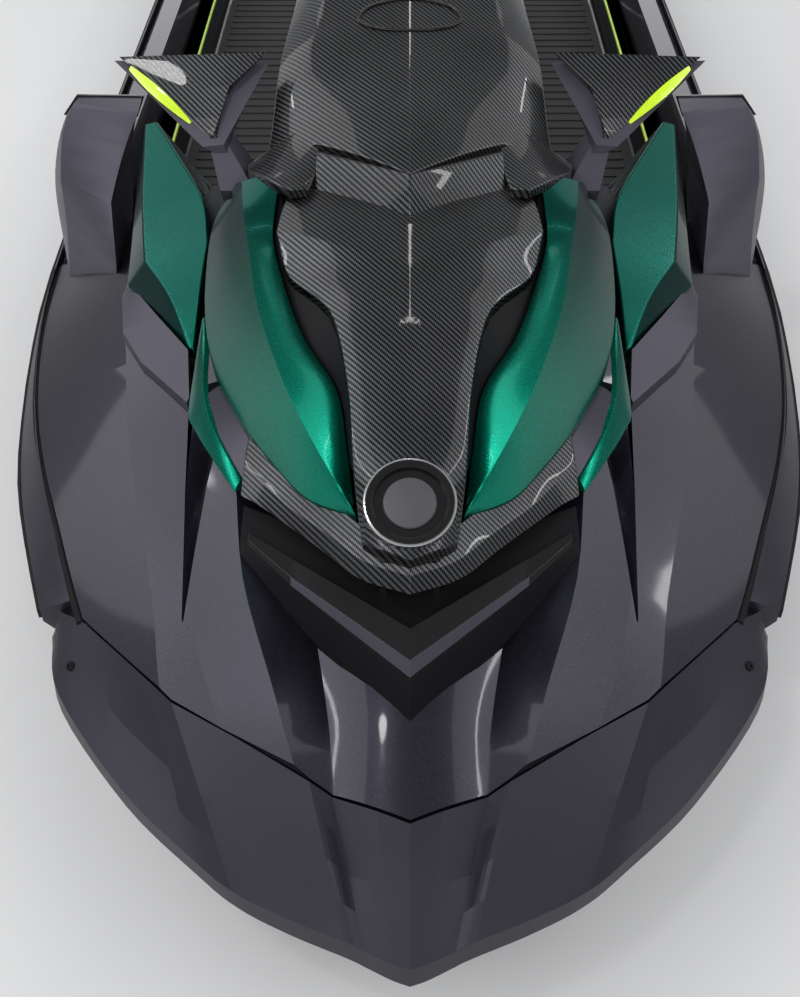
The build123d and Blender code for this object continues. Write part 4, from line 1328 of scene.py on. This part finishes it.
# ---------------------------------------------------------------- foredeck
@dataclass
class Foredeck:
    """Painted top of the foredeck: plates, creases, channel and the recesses beside the raised plate."""

    rows: Rows = (
        (60, 96, 88, 206, 78, 222, 70, 230, 58, 240, 40, 226, 236),
        (139, 221, 205, 212, 168, 230, 140, 240, 100, 258, 76, 236, 252),
        (200, 290, 272, 220, 222, 242, 180, 254, 126, 280, 84, 248, 268),
        (270, 336, 330, 226, 277, 258, 222, 268, 150, 299, 94, 262, 286),
        (400, 408, 402, 230, 308, 274, 262, 288, 194, 321, 120, 286, 308),
        (546, 470, 464, 243, 350, 290, 276, 308, 218, 330, 150, 312, 324),
        (650, 511, 507, 245, 378, 301, 292, 322, 238, 344, 170, 332, 338),
        (771, 549, 545, 245, 400, 315, 322, 342, 268, 360, 200, 350, 354),
        (941, 586, 578, 240, 430, 328, 360, 352, 290, 368, 210, 370, 372),
        (1105, 600, 597, 232, 440, 330, 400, 372, 300, 390, 220, 400, 402),)
    recess: Rows = ((366, 267, 265), (450, 275, 261), (545, 285, 256), (700, 298, 236))
    seam: Rows = ((139, 0), (180, 107), (274, 268), (402, 404), (440, 480))
    bin_half: float = 158
    bin_front: float = 574
    bin_back: float = 960
    spans: int = 4
    arch_steps: int = 8
    wall_cuts: int = 3             # how many quads a facet outside the channel is wide
    skin: float = 0.004
    reach: tuple[float, float] = (100, 700)        # the heights between which the cutters stand
    facing: float = 0.12           # how far up a face must point for the skin to stand in for it
    near: float = 2.6              # and how near the skin it must lie, in millimetres
    lines: list[tuple] = field(init=False, default_factory=list)     # the rows, with more put between them

    def build(self) -> None:
        """Lays a clean skin over the deck's front in place of the faces that it covers."""
        under = bare_copy("deck", "_dressed")
        rounded(under, Edge(0.003, 11, 3))
        self.lines = run(self.rows, self.spans)
        pick_faces(under, self.covered)
        bpy.ops.mesh.delete(type="FACE")
        bpy.ops.object.mode_set(mode="OBJECT")
        place(under, "craft", "deck_shell", ["deck"])
        place(self.top(), "craft", "deck_shell")
        seal = [at(row[0], row[2] + 4, row[3] - 7) for row in self.lines if row[0] > 399]
        place(both_sides(tube("deck_seal", seal, 0.006)), "craft", "black_plastic")

    def section(self, row: Sequence[float]) -> list[tuple[float, float]]:
        """Works out a half section.

        Args:
            row: the numbers of a row.

        Returns:
            Half-breadths and heights from the shoulder to the centreline, the channel crowned.
        """
        _, _, *numbers, centre = row
        points = list(zip(numbers[::2], numbers[1::2]))
        edge, low = points[-1]
        arch = [1 - step / self.arch_steps for step in range(1, self.arch_steps + 1)]
        return [*points, *((edge * share, centre - (centre - low) * share ** 2) for share in arch)]

    def height(self, s: float, x: float) -> float:
        """Finds the height of the deck's front.

        Args:
            s: the distance behind the bow, in millimetres.
            x: the half-breadth, in millimetres.

        Returns:
            The height in millimetres, or far below where the front has ended.
        """
        for low, high in zip(self.lines, self.lines[1:]):
            if low[0] <= s <= high[0]:
                share = (s - low[0]) / (high[0] - low[0])
                points = self.section([a + (b - a) * share for a, b in zip(low, high)])
                for (outer, z_outer), (inner, z_inner) in zip(points, points[1:]):
                    if inner <= x <= outer:
                        return z_inner + (z_outer - z_inner) * (x - inner) / max(outer - inner, 0.001)
        return -1000.0

    def covered(self, spot: Vector, normal: Vector) -> bool:
        """Tells whether the skin stands in for a face of the deck.

        Args:
            spot: the face's middle.
            normal: the face's normal.

        Returns:
            True where it does.
        """
        s = spot.y * 1000 - BOW_Y
        gap = abs(spot.z * 1000 - self.height(s, abs(spot.x) * 1000))
        return normal.z > self.facing and s < self.rows[-1][0] and gap < self.near

    def cutter(self, name: str, outline: Sequence[tuple[float, float]]) -> bpy.types.Object:
        """Makes an upright prism.

        Args:
            name: the piece's name.
            outline: its corners, each a distance behind the bow and a half-breadth.

        Returns:
            The prism, closed.
        """
        edges = [[at(s, x, z) for s, x in [*outline, outline[0]]] for z in self.reach]
        piece = sheet_mesh(name, edges)
        alone(piece)
        bpy.ops.object.mode_set(mode="EDIT")
        bpy.ops.mesh.select_all(action="SELECT")
        bpy.ops.mesh.fill_holes(sides=0)
        bpy.ops.mesh.normals_make_consistent(inside=False)
        bpy.ops.object.mode_set(mode="OBJECT")
        return piece

    def top(self) -> bpy.types.Object:
        """Makes the clean skin, cut along the bumper's seam and round the recesses and the bin.

        Returns:
            The skin, with both sides.
        """
        lines = []
        for row in self.lines:
            points = self.section(row)
            across = []
            for first, second in zip(points, points[1:]):
                cuts = 1 if first[0] <= row[-3] else self.wall_cuts
                across += [tuple(a + (b - a) * step / cuts for a, b in zip(first, second))
                           for step in range(cuts)]
            across.append(points[-1])
            lines.append([at(row[0], x, z) for x, z in across])
        piece = sheet_mesh("deck_top", [list(line) for line in zip(*lines)])
        wall = piece.modifiers.new("wall", "SOLIDIFY")
        wall.thickness = self.skin
        wall.offset = -1.0
        apply_all(piece)
        front = [(s + 1, x) for s, x in self.seam]
        outside = [(0, -1), (front[0][0], -1), *front, (front[-1][0], 700), (0, 700)]
        recess = [(s, outer) for s, outer, _ in self.recess]
        recess += [(s, inner) for s, _, inner in reversed(self.recess)]
        bin_hole = [(self.bin_front, -1), (self.bin_front, self.bin_half), (self.bin_back, self.bin_half),
                    (self.bin_back, -1)]
        for name, outline in (("bow_cut", outside), ("recess_cut", recess), ("bin_cut", bin_hole)):
            tool = self.cutter(name, outline)
            cut = piece.modifiers.new(name, "BOOLEAN")
            cut.operation, cut.solver, cut.object = "DIFFERENCE", "EXACT", tool
            apply_all(piece)
            bpy.data.objects.remove(tool)
        open_middle(piece)
        twin = piece.modifiers.new("twin", "MIRROR")
        twin.merge_threshold = 0.0004
        return rounded(piece, Edge(0.004, 7, 3))


# ---------------------------------------------------------------- bow
@dataclass
class Bow:
    """Bumper, chin wing, and the black tray under the nose that stands in for the shade in its recess."""

    wing_half: float = 0.136
    lip_deep: float = 32
    lip_out: float = 8
    lip_wall: float = 24
    floor: float = 183
    spans: int = 5
    screw_out: float = 0.414
    screw_y: float = -1.308
    bumper_rows: Rows = (
        (137, 0, 8, 0, 202, 1), (150, 34, 14, 19, 201, -3), (169, 83, 26, 46, 199, -7),
        (178, 107, 34, 66, 202, 5), (226, 188, 58, 128, 199, 1), (272, 268, 86, 187, 196, 6),
        (302, 300, 122, 236, 194, -5), (346, 346, 202, 328, 190, -5), (400, 404, 324, 428, 185, 0),
        (428, 450, 404, 454, 185, 0),)

    def build(self) -> None:
        """Builds and dresses the bow."""
        Foredeck().build()
        self.bumper()
        # painted shade: the black nose tray is a dark sheet laid in the recess under the lip, standing in for
        # the shade there
        dressed("nose_tray", Edge(0.002, 25, 2))
        wing = dressed("chin_wing", Edge(0.0022, 14, 3), "gloss_black")
        # painted highlight: the wing's forward faces get the paler trim finish, standing in for light falling
        # on them; the rest is gloss black
        repaint(wing, "trim", lambda spot, normal: normal.y < -0.45 and abs(spot.x) < self.wing_half)
        for node in ("hinge_base", "front_bin", "bow_eye"):
            dressed(node)
        self.fasteners()

    def bumper(self) -> None:
        """Bumper round the bow: creased panels between the seam and a curved lip band."""
        up = Vector((0, 0, 0.001))
        lips = run([row[2:5] for row in self.bumper_rows], self.spans)
        lines = []
        for index, (lip_s, lip_x, lip_z) in enumerate(lips):
            low = self.bumper_rows[index // self.spans]
            high = self.bumper_rows[min(index // self.spans + 1, len(self.bumper_rows) - 1)]
            share = index % self.spans / self.spans
            s, x, swell = (low[k] + (high[k] - low[k]) * share for k in (0, 1, 5))
            seam, lip = at(s, x, 0), at(lip_s, lip_x, 0)
            inward = (seam - lip).normalized()
            probe = seam - inward * 0.004
            top = surface("front_bumper", (max(probe.x, 0.0005), probe.y, 1.0), (0, 0, -1))[0].z * 1000
            under = lip_z - self.lip_deep
            wall = lip + inward * self.lip_wall / 1000
            middle_z = (top + lip_z) / 2 + swell
            lines.append([seam + up * top,
                          (seam * 3 + lip) / 4 + up * ((top + middle_z) / 2 + swell * 0.1),
                          (seam + lip) / 2 + up * middle_z,
                          (seam + lip * 3) / 4 + up * ((middle_z + lip_z) / 2 + swell * 0.1),
                          lip + up * lip_z,
                          lip - inward * self.lip_out / 1000 + up * under,
                          wall + up * under,
                          wall + up * self.floor,
                          seam + up * self.floor])
        for point in lines[0]:
            point.x = 0.0
        around = [list(line) for line in zip(*lines)]
        piece = sheet_mesh("front_bumper_skin", around, closed=True)
        open_middle(piece)
        twin = piece.modifiers.new("twin", "MIRROR")
        twin.merge_threshold = 0.0004
        place(rounded(piece, Edge(0.006, 6, 4)), "craft", "bumper", ["front_bumper"])

    def fasteners(self) -> None:
        """Screws that hold the bumper's ends."""
        spots = [(x, self.screw_y, 0.6) for x in (-self.screw_out, self.screw_out)]
        screwed("bumper_screws", "front_bumper", spots, (0, 0, -1), 0.0045, "black_plastic")


# ---------------------------------------------------------------- sides
@dataclass
class Sides:
    """Rub rail, side pods, cheeks and their trims."""

    cheek_break: int = 2
    insert_low: float = 0.18
    insert_high: float = 0.203
    insert_margin: float = 0.004
    insert_proud: float = 0.004
    piping_start: float = -0.42
    piping_pitch: float = 0.095
    piping_points: int = 15
    piping_height: float = 0.150
    piping_radius: float = 0.0045
    footwell_x: float = 0.40
    flash_proud: float = 2         # millimetres
    line_drop: float = 16          # how far the lime line lies under the panel, in millimetres
    line_radius: float = 0.0022
    flash: Rows = ((1400, 350, 356), (1620, 318, 374), (2150, 306, 370), (2500, 330, 354), (2570, 342, 347))
    cheek_rows: Rows = (
        (752, 287, 330, 294, 360, 299, 360, 304, 356, 304, 330),
        (820, 276, 340, 287, 406, 332, 394, 356, 364, 356, 330),
        (882, 268, 350, 279, 442, 374, 408, 409, 364, 409, 330),
        (940, 264, 360, 288, 462, 382, 432, 407, 394, 407, 330),
        (989, 268, 370, 311, 474, 386, 456, 405, 422, 405, 330),
        (1094, 300, 380, 374, 503, 391, 499, 402, 480, 402, 340),)

    def build(self) -> None:
        """Builds and dresses the sides."""
        dressed("rub_rail", Edge(0.004, 20, 3, 30))
        dressed("side_pods", Edge(0.006, 14, 3, 30))
        dressed("pod_caps", Edge(0.002, 30, 2))
        self.cheeks()
        dressed("cheek_trims", Edge(0.0015, 20, 2))
        self.rail_insert()
        self.footwell_piping()
        self.saddle_flash()

    def cheeks(self) -> None:
        """Painted cheeks beside the hood, creased along their middle."""
        lines = []
        for s, *numbers in run(self.cheek_rows, 6, [self.cheek_break]):
            lines.append([at(s, x, z) for x, z in zip(numbers[::2], numbers[1::2])])
        piece = both_sides(sheet_mesh("cheeks_skin", [list(line) for line in zip(*lines)], closed=True))
        place(rounded(piece, Edge(0.004, 12, 3)), "craft", "green_paint", ["cheeks"])

    def rail_insert(self) -> None:
        """Soft black strip proud of the rail's outer face."""
        strip = bare_copy("rub_rail", "_insert")
        pick_faces(strip, lambda spot, normal: (
            abs(normal.x) < 0.75 or not self.insert_low < spot.z < self.insert_high))
        bpy.ops.mesh.delete(type="FACE")
        bpy.ops.mesh.select_all(action="SELECT")
        bpy.ops.mesh.inset(thickness=self.insert_margin, use_even_offset=True)
        bpy.ops.mesh.select_all(action="INVERT")
        bpy.ops.mesh.delete(type="FACE")
        bpy.ops.object.mode_set(mode="OBJECT")
        thick = strip.modifiers.new("thick", "SOLIDIFY")
        thick.thickness = self.insert_proud
        thick.offset = 1.0
        apply_all(strip)
        place(shade(strip), "craft", "rubber")

    def beside(self, behind: float, up: float, proud: float) -> Vector:
        """Place beside the saddle's port side, in millimetres."""
        spot = surface("deck", at(behind, 450, up), (-1, 0, 0))[0]
        return spot + Vector((proud / 1000, 0, 0))

    def saddle_flash(self) -> None:
        """Tapered painted panel along each side of the saddle, a lime line under it."""
        rows = run(self.flash, 8)
        proud = self.flash_proud
        around = [[self.beside(s, low, -proud), self.beside(s, low, proud),
                   self.beside(s, top, proud), self.beside(s, top, -proud)] for s, low, top in rows]
        panel = both_sides(sheet_mesh("saddle_flash", [list(line) for line in zip(*around)], closed=True))
        place(rounded(panel, Edge(0.0012, 25, 2)), "craft", "green_paint")
        spots = [self.beside(s, low - self.line_drop, 0.5) for s, low, _ in rows[2:-2]]
        place(both_sides(tube("saddle_line", spots, self.line_radius)), "craft", "lime")

    def footwell_piping(self) -> None:
        """Lime edge along each footwell's outer wall."""
        spots = []
        for step in range(self.piping_points):
            y = self.piping_start + step * self.piping_pitch
            spot, _ = surface("deck", (self.footwell_x, y, self.piping_height), (1, 0, 0))
            spots.append(spot - Vector((0.001, 0, 0)))
        place(both_sides(tube("footwell_piping", spots, self.piping_radius)), "craft", "lime")


# ---------------------------------------------------------------- cockpit
@dataclass
class Cockpit:
    """Console, display, handlebar and its controls."""

    grip_ribs: int = 17
    grip_radius: float = 0.0172
    groove: float = 0.0016
    screen_size: Point = (0.118, 0.036, 0.002)
    buttons: tuple[float, ...] = (-0.28, 0.0, 0.28)        # their places along a pod, as shares of its length
    latch_size: Point = (0.042, 0.016, 0.005)
    latch_in: float = 0.026
    edges: dict[str, Edge] = field(default_factory=lambda: {
        "console": Edge(0.004, 14, 3), "handlebar": Edge(0.001, 30, 2), "bar_pad": Edge(0.008, 20, 4),
        "switch_pods": Edge(0.003, 25, 3), "levers": Edge(0.002, 25, 3), "glovebox_lid": Edge(0.003, 20, 3),
        "gauge": Edge(0.004, 20, 3)})

    def build(self) -> None:
        """Builds and dresses the cockpit."""
        for node, edge in self.edges.items():
            dressed(node, edge)
        self.grips()
        self.screen()
        self.switches()
        self.latch()

    def grips(self) -> None:
        """Ribbed rubber grips with a flange and an end plug."""
        for side, name in ((1, "grip_port"), (-1, "grip_starboard")):
            inner, outer = limb("grips", side)
            reach, aim = (outer - inner).length, (outer - inner).normalized()
            r = self.grip_radius
            profile = [(r + 0.0055, -0.001), (r + 0.0055, 0.004), (r, 0.0055)]
            pitch = (reach - 0.016) / self.grip_ribs
            for rib in range(self.grip_ribs):
                low = 0.008 + rib * pitch
                profile += [(r - self.groove, low), (r, low + 0.22 * pitch), (r, low + 0.72 * pitch),
                            (r - self.groove, low + 0.9 * pitch)]
            profile += [(r, reach - 0.006), (r - 0.001, reach - 0.001), (r - 0.006, reach), (0, reach)]
            grip = set_out(name, turned(name, profile, 28), [(inner, aim)])
            place(grip, "handlebar", "rubber", ["grips"])

    def screen(self) -> None:
        """Display glass on the gauge's face."""
        centre, normal = flat("gauge", (0, 0.7, 0.6))
        glass = slab("gauge_screen", self.screen_size, 0.006, 0.0004)
        place(set_out("gauge_screen", glass, [(centre, normal)]), "craft", "gloss_black")

    def switches(self) -> None:
        """Buttons on the switch pods."""
        for side, name in ((1, "port"), (-1, "starboard")):
            inner, outer = limb("switch_pods", side)
            middle = (inner + outer) / 2
            spots = []
            for share in self.buttons:
                spot = middle + (outer - inner) * share
                spots.append(surface("switch_pods", spot + Vector((0, 0.2, 0.12)), (0, -0.85, -0.5)))
            button = turned(f"buttons_{name}", [(0.0052, -0.001), (0.0052, 0.0022), (0.0044, 0.003),
                                                (0, 0.0033)], 20)
            place(set_out(f"buttons_{name}", button, spots), "handlebar", "trim")

    def latch(self) -> None:
        """Latch on the glove box lid."""
        _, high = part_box("glovebox_lid")
        spot, normal = surface("glovebox_lid", (0, high[1] - self.latch_in, 2.0), (0, 0, -1))
        catch = slab("lid_latch", self.latch_size, 0.005, 0.001)
        place(set_out("lid_latch", catch, [(spot, normal)]), "glovebox_lid", "gloss_black")


# ---------------------------------------------------------------- seats
@dataclass
class Seats:
    """Two vinyl cushions, blown out by cloth under pressure, with welts and stitched channels."""

    start_in: float = 0.006
    cap: float = 0.009
    voxel: float = 0.0075
    frames: int = 20
    shoulder: float = 0.030
    welt: float = 0.0042
    pressure: float = 4.0
    stiffness: float = 18.0
    channel_depth: float = 0.0045
    seam_depth: float = 0.0035
    press_width: float = 0.005
    band: float = 0.01             # the length over which the top's height is taken
    welt_end: float = 0.025        # how far the welt stops short of a cushion's ends
    welt_pitch: float = 0.03
    stitch_drop: float = 0.009
    channels: dict[str, tuple[float, ...]] = field(default_factory=lambda: {
        "seat_front": (0.16, 0.40, 0.58), "seat_rear": (0.14, 0.30)})

    def build(self) -> None:
        """Builds both cushions with their seams."""
        for node, rows in self.channels.items():
            self.cushion(node, rows)

    def swell(self, piece: bpy.types.Object, low: float) -> None:
        """Blows a closed skin out by cloth.

        Args:
            piece: the skin, no point of which moves further than the cap.
            low: the height that no point may be under.
        """
        start = [vertex.co.copy() for vertex in piece.data.vertices]
        cloth = piece.modifiers.new("vinyl", "CLOTH")
        cloth.settings.quality = 4
        cloth.settings.use_pressure = True
        cloth.settings.uniform_pressure_force = self.pressure
        cloth.settings.tension_stiffness = cloth.settings.compression_stiffness = self.stiffness
        cloth.settings.effector_weights.gravity = 0.0
        scene = bpy.context.scene
        for frame_number in range(1, self.frames + 1):
            scene.frame_set(frame_number)
        moved = piece.evaluated_get(bpy.context.evaluated_depsgraph_get()).data
        ends = [vertex.co.copy() for vertex in moved.vertices]
        piece.modifiers.remove(cloth)
        scene.frame_set(1)
        for vertex, old, new in zip(piece.data.vertices, start, ends):
            shift = new - old
            if shift.length > self.cap:
                shift *= self.cap / shift.length
            vertex.co = old + shift
            vertex.co.z = max(vertex.co.z, low)

    def cushion(self, node: str, rows: Sequence[float]) -> None:
        """Builds one cushion: cloth skin, pressed channels, welt along its shoulders and stitches.

        Args:
            node: the cushion's CAD node.
            rows: how far behind its front each channel lies, in metres.
        """
        low, high = (Vector(corner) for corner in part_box(node))
        piece = bare_copy(node, "_cover")
        inset = piece.modifiers.new("inset", "DISPLACE")
        inset.strength = -self.start_in
        inset.mid_level = 0.0
        remesh = piece.modifiers.new("even", "REMESH")
        remesh.mode = "VOXEL"
        remesh.voxel_size = self.voxel
        apply_all(piece)
        soft = piece.modifiers.new("soft", "SMOOTH")
        soft.factor, soft.iterations = 0.5, 4
        apply_all(piece)
        self.swell(piece, low.z + 0.0005)
        finer = piece.modifiers.new("finer", "SUBSURF")
        finer.levels = finer.render_levels = 1
        apply_all(piece)
        self.press(piece, [low.y + row for row in rows])
        alone(piece)
        bpy.ops.object.shade_smooth()
        place(piece, NODE_BODY[node], "seat_vinyl", [node])
        self.seam(piece, node, low, high)

    def press(self, piece: bpy.types.Object, channels: Sequence[float]) -> None:
        """Presses the sewn channels across the top and the seam along each shoulder.

        Args:
            piece: the skin.
            channels: the y place of each channel.
        """
        tops: dict[int, float] = {}
        for vertex in piece.data.vertices:
            key = round(vertex.co.y / self.band)
            tops[key] = max(tops.get(key, -1.0), vertex.co.z)
        moves = []
        for vertex in piece.data.vertices:
            y, z = vertex.co.y, vertex.co.z
            drop = tops[round(y / self.band)] - self.shoulder - z
            depth = (self.seam_depth * math.exp(-(drop / self.press_width) ** 2)
                     * max(0.0, 1 - abs(vertex.normal.y)))
            if vertex.normal.z > 0.3:
                for channel in channels:
                    depth += self.channel_depth * math.exp(-((y - channel) / self.press_width) ** 2)
            moves.append(vertex.normal * -depth)
        for vertex, move in zip(piece.data.vertices, moves):
            vertex.co += move

    def seam(self, piece: bpy.types.Object, node: str, low: Vector, high: Vector) -> None:
        """Lays a welt cord along both shoulders, with a row of stitches under it.

        Args:
            piece: the finished skin.
            node: the cushion's CAD node.
            low: the low corner of the node's box.
            high: its high corner.
        """
        skin = piece.data
        tree = BVHTree.FromPolygons([v.co for v in skin.vertices], [p.vertices for p in skin.polygons])
        spots, stitches = [], []
        length = high.y - low.y - 2 * self.welt_end
        count = max(8, round(length / self.welt_pitch))
        for step in range(count + 1):
            y = low.y + self.welt_end + length * step / count
            top = tree.ray_cast(Vector((0, y, 2.0)), Vector((0, 0, -1)))[0]
            side = top and tree.ray_cast(Vector((0.5, y, top.z - self.shoulder)), Vector((-1, 0, 0)))
            if side and side[0]:
                spots.append(side[0] + side[1] * 0.0005)
        cord = both_sides(tube(f"{node}_welt", spots, self.welt / 2))
        place(cord, NODE_BODY[node], "seat_vinyl")
        for first, second in zip(spots, spots[1:]):
            for share in (0.0, 0.2, 0.4, 0.6, 0.8):
                y = first.y + (second.y - first.y) * share
                z = first.z + (second.z - first.z) * share - self.stitch_drop
                hit = tree.ray_cast(Vector((0.5, y, z)), Vector((-1, 0, 0)))
                if hit[0]:
                    stitches.append((hit[0] + hit[1] * 0.0002, (second - first).normalized()))
        thread = turned(f"{node}_stitches", [(0.0003, -0.0019), (0.0008, -0.001), (0.0008, 0.001),
                                             (0, 0.0019)], 6)
        place(both_sides(set_out(f"{node}_stitches", thread, stitches)), NODE_BODY[node], "trim")


# ---------------------------------------------------------------- footwells and platform
@dataclass
class Mats:
    """Ribbed foam mats in the footwells and on the swim platform."""

    pitch: float = 0.033
    rib: Point = (0.168, 0.014, 0.003)
    platform_rib: Point = (0.272, 0.014, 0.003)
    footwell_middle: float = 0.381
    sunk: float = 0.0004

    def build(self) -> None:
        """Builds the mats and their ribs."""
        for node, middle, size in (("footwell_mats", self.footwell_middle, self.rib),
                                   ("platform_mat", 0.0, self.platform_rib)):
            dressed(node, Edge(0.003, 30, 3))
            low, high = (Vector(corner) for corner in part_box(node))
            count = int((high.y - low.y - 0.05) / self.pitch)
            places = []
            for step in range(count + 1):
                y = (low.y + high.y) / 2 + (step - count / 2) * self.pitch
                spot, _ = surface(node, (middle, y, 1.0), (0, 0, -1))
                places.append((spot - Vector((0, 0, self.sunk)), Vector((0, 0, 1))))
            ribs = set_out(f"{node}_ribs", slab(f"{node}_ribs", size, 0.005, 0.0003), places)
            place(both_sides(ribs) if middle else ribs, "craft", "mat_foam")


# ---------------------------------------------------------------- hull and drive
@dataclass
class Drive:
    """Hull, jet drive and what hangs under the stern."""

    plate_screw_half: float = 0.11
    plate_screws: tuple[float, ...] = (2800, 2950, 3100, 3220)      # millimetres behind the bow
    sponson_screws: tuple[float, ...] = (2580, 2770, 2960)
    sponson_screw_height: float = -0.055

    def build(self) -> None:
        """Builds and dresses the hull and drive."""
        dressed("hull", Edge(0.003, 10, 3, 30))
        dressed("sponsons", Edge(0.004, 20, 3))
        dressed("ride_plate", Edge(0.002, 25, 2))
        for node in ("intake_grate", "pump_housing", "jet_yokes", "stator", "impeller", "steering_nozzle",
                     "reverse_bucket", "engine_block"):
            dressed(node, Edge(0.0012, 28, 2))
        self.fastened()

    def fastened(self) -> None:
        """Screws under the ride plate and along the sponsons."""
        half = self.plate_screw_half
        plate = [(x, at(s, 0, 0).y, -1.0) for x in (-half, half) for s in self.plate_screws]
        screwed("ride_plate_screws", "ride_plate", plate, (0, 0, 1), 0.006)
        for side, name in ((1, "port"), (-1, "starboard")):
            blades = [(side, at(s, 0, 0).y, self.sponson_screw_height) for s in self.sponson_screws]
            screwed(f"sponson_screws_{name}", "sponsons", blades, (-side, 0, 0), 0.005)


@dataclass
class Stern:
    """Swim platform fittings, towing eyes and the boarding step."""

    plug_half: float = 0.27
    plug_height: float = -0.03

    def build(self) -> None:
        """Builds and dresses the stern's fittings."""
        for node in ("grab_rail", "stern_eyes", "anchor_sockets", "boarding_step", "step_brackets"):
            dressed(node)
        self.drain_plugs()

    def drain_plugs(self) -> None:
        """Two drain plugs low on the transom."""
        spots = [surface("hull", (x, 3.0, self.plug_height), (0, -1, 0))
                 for x in (-self.plug_half, self.plug_half)]
        plug = turned("drain_plugs", [(0.019, -0.001), (0.019, 0.003), (0.0175, 0.0045), (0.009, 0.0045),
                                      (0.008, 0.0095), (0.007, 0.0105), (0, 0.0105)], 32)
        place(set_out("drain_plugs", plug, spots), "craft", "black_plastic")


# ---------------------------------------------------------------- studio
@dataclass
class Studio:
    """Pale floor at the waterline, broad soft lamps, small ones that pick out the creases, and the camera."""

    floor_half: float = 9.0
    camera_place: Point = (0.0, -1.911, 1.240)
    pitch: float = 50.0
    lens: float = 35.0
    shift: float = -0.0100
    sensor: float = 36.0
    clip: tuple[float, float] = (0.05, 60.0)
    aim: Point = (0.0, -0.6, 0.3)                  # where every lamp points
    sky: Point = (0.95, 0.97, 1.0)
    world: float = 0.4
    floor_tones: tuple[Point, Point] = ((0.62, 0.62, 0.625), (0.68, 0.68, 0.68))
    lamps: list[tuple] = field(default_factory=lambda: [
        ("port_box", (3.0, -0.4, 3.0), (5.5, 2.6), 58.0),
        ("starboard_box", (-3.0, -0.4, 3.0), (5.5, 2.6), 82.0),
        ("front", (-0.3, -4.8, 2.6), (4.5, 2.2), 72.0),
        ("rear", (0.0, 4.6, 3.0), (4.5, 2.2), 60.0),
        ("overhead", (-1.15, -1.52, 3.4), (0.34, 0.34), 9.0),
        ("centre_strip", (0.0, 0.4, 3.6), (0.02, 1.6), 2.4),
        ("port_strip", (2.5, -0.9, 2.5), (2.8, 0.07), 12.0),
        ("starboard_strip", (-2.7, -0.9, 2.4), (2.8, 0.07), 12.0),
    ])

    def floor(self) -> bpy.types.Object:
        """Lays the floor at the waterline.

        Returns:
            The floor, pale and faintly clouded.
        """
        nothing()
        bpy.ops.mesh.primitive_grid_add(x_subdivisions=12, y_subdivisions=12, size=2 * self.floor_half)
        piece = bpy.context.object
        piece.name = "floor"
        g = Graph("studio_floor")
        cloud = g.noise(0.8, 3.0)
        g.finish(Base_Color=g.mix(cloud, *self.floor_tones), Roughness=0.85)
        piece.data.materials.append(g.material)
        return piece

    def light(self) -> None:
        """Lamps aimed at the craft, and a dim even world."""
        for name, spot, size, power in self.lamps:
            lamp = bpy.data.lights.new(name, "AREA")
            lamp.shape = "ELLIPSE" if name == "overhead" else "RECTANGLE"
            lamp.size, lamp.size_y = size
            lamp.energy = power
            holder = bpy.data.objects.new(name, lamp)
            bpy.context.scene.collection.objects.link(holder)
            holder.location = spot
            aim = Vector(self.aim) - Vector(spot)
            holder.rotation_euler = aim.to_track_quat("-Z", "Y").to_euler()
        world = bpy.data.worlds.new("studio")
        bpy.context.scene.world = world
        world.use_nodes = True
        background = world.node_tree.nodes["Background"]
        background.inputs[0].default_value = (*self.sky, 1.0)
        background.inputs[1].default_value = self.world

    def camera(self) -> None:
        """Camera above and ahead of the bow."""
        data = bpy.data.cameras.new("camera")
        data.lens = self.lens
        data.sensor_width = self.sensor
        data.shift_x = self.shift
        data.clip_start, data.clip_end = self.clip
        holder = bpy.data.objects.new("camera", data)
        bpy.context.scene.collection.objects.link(holder)
        holder.location = self.camera_place
        holder.rotation_euler = (math.radians(90.0 - self.pitch), 0.0, 0.0)
        bpy.context.scene.camera = holder


def main() -> None:
    """Builds the studio and every sub-assembly."""
    bpy.context.scene.view_settings.view_transform = "Standard"
    studio = Studio()
    studio.floor()
    studio.light()
    studio.camera()
    for part in (Hood(), Mirrors(), Bow(), Sides(), Cockpit(), Seats(), Mats(), Drive(), Stern()):
        part.build()
        LOG.info("%s built", type(part).__name__)


if __name__ == "__main__":
    main()
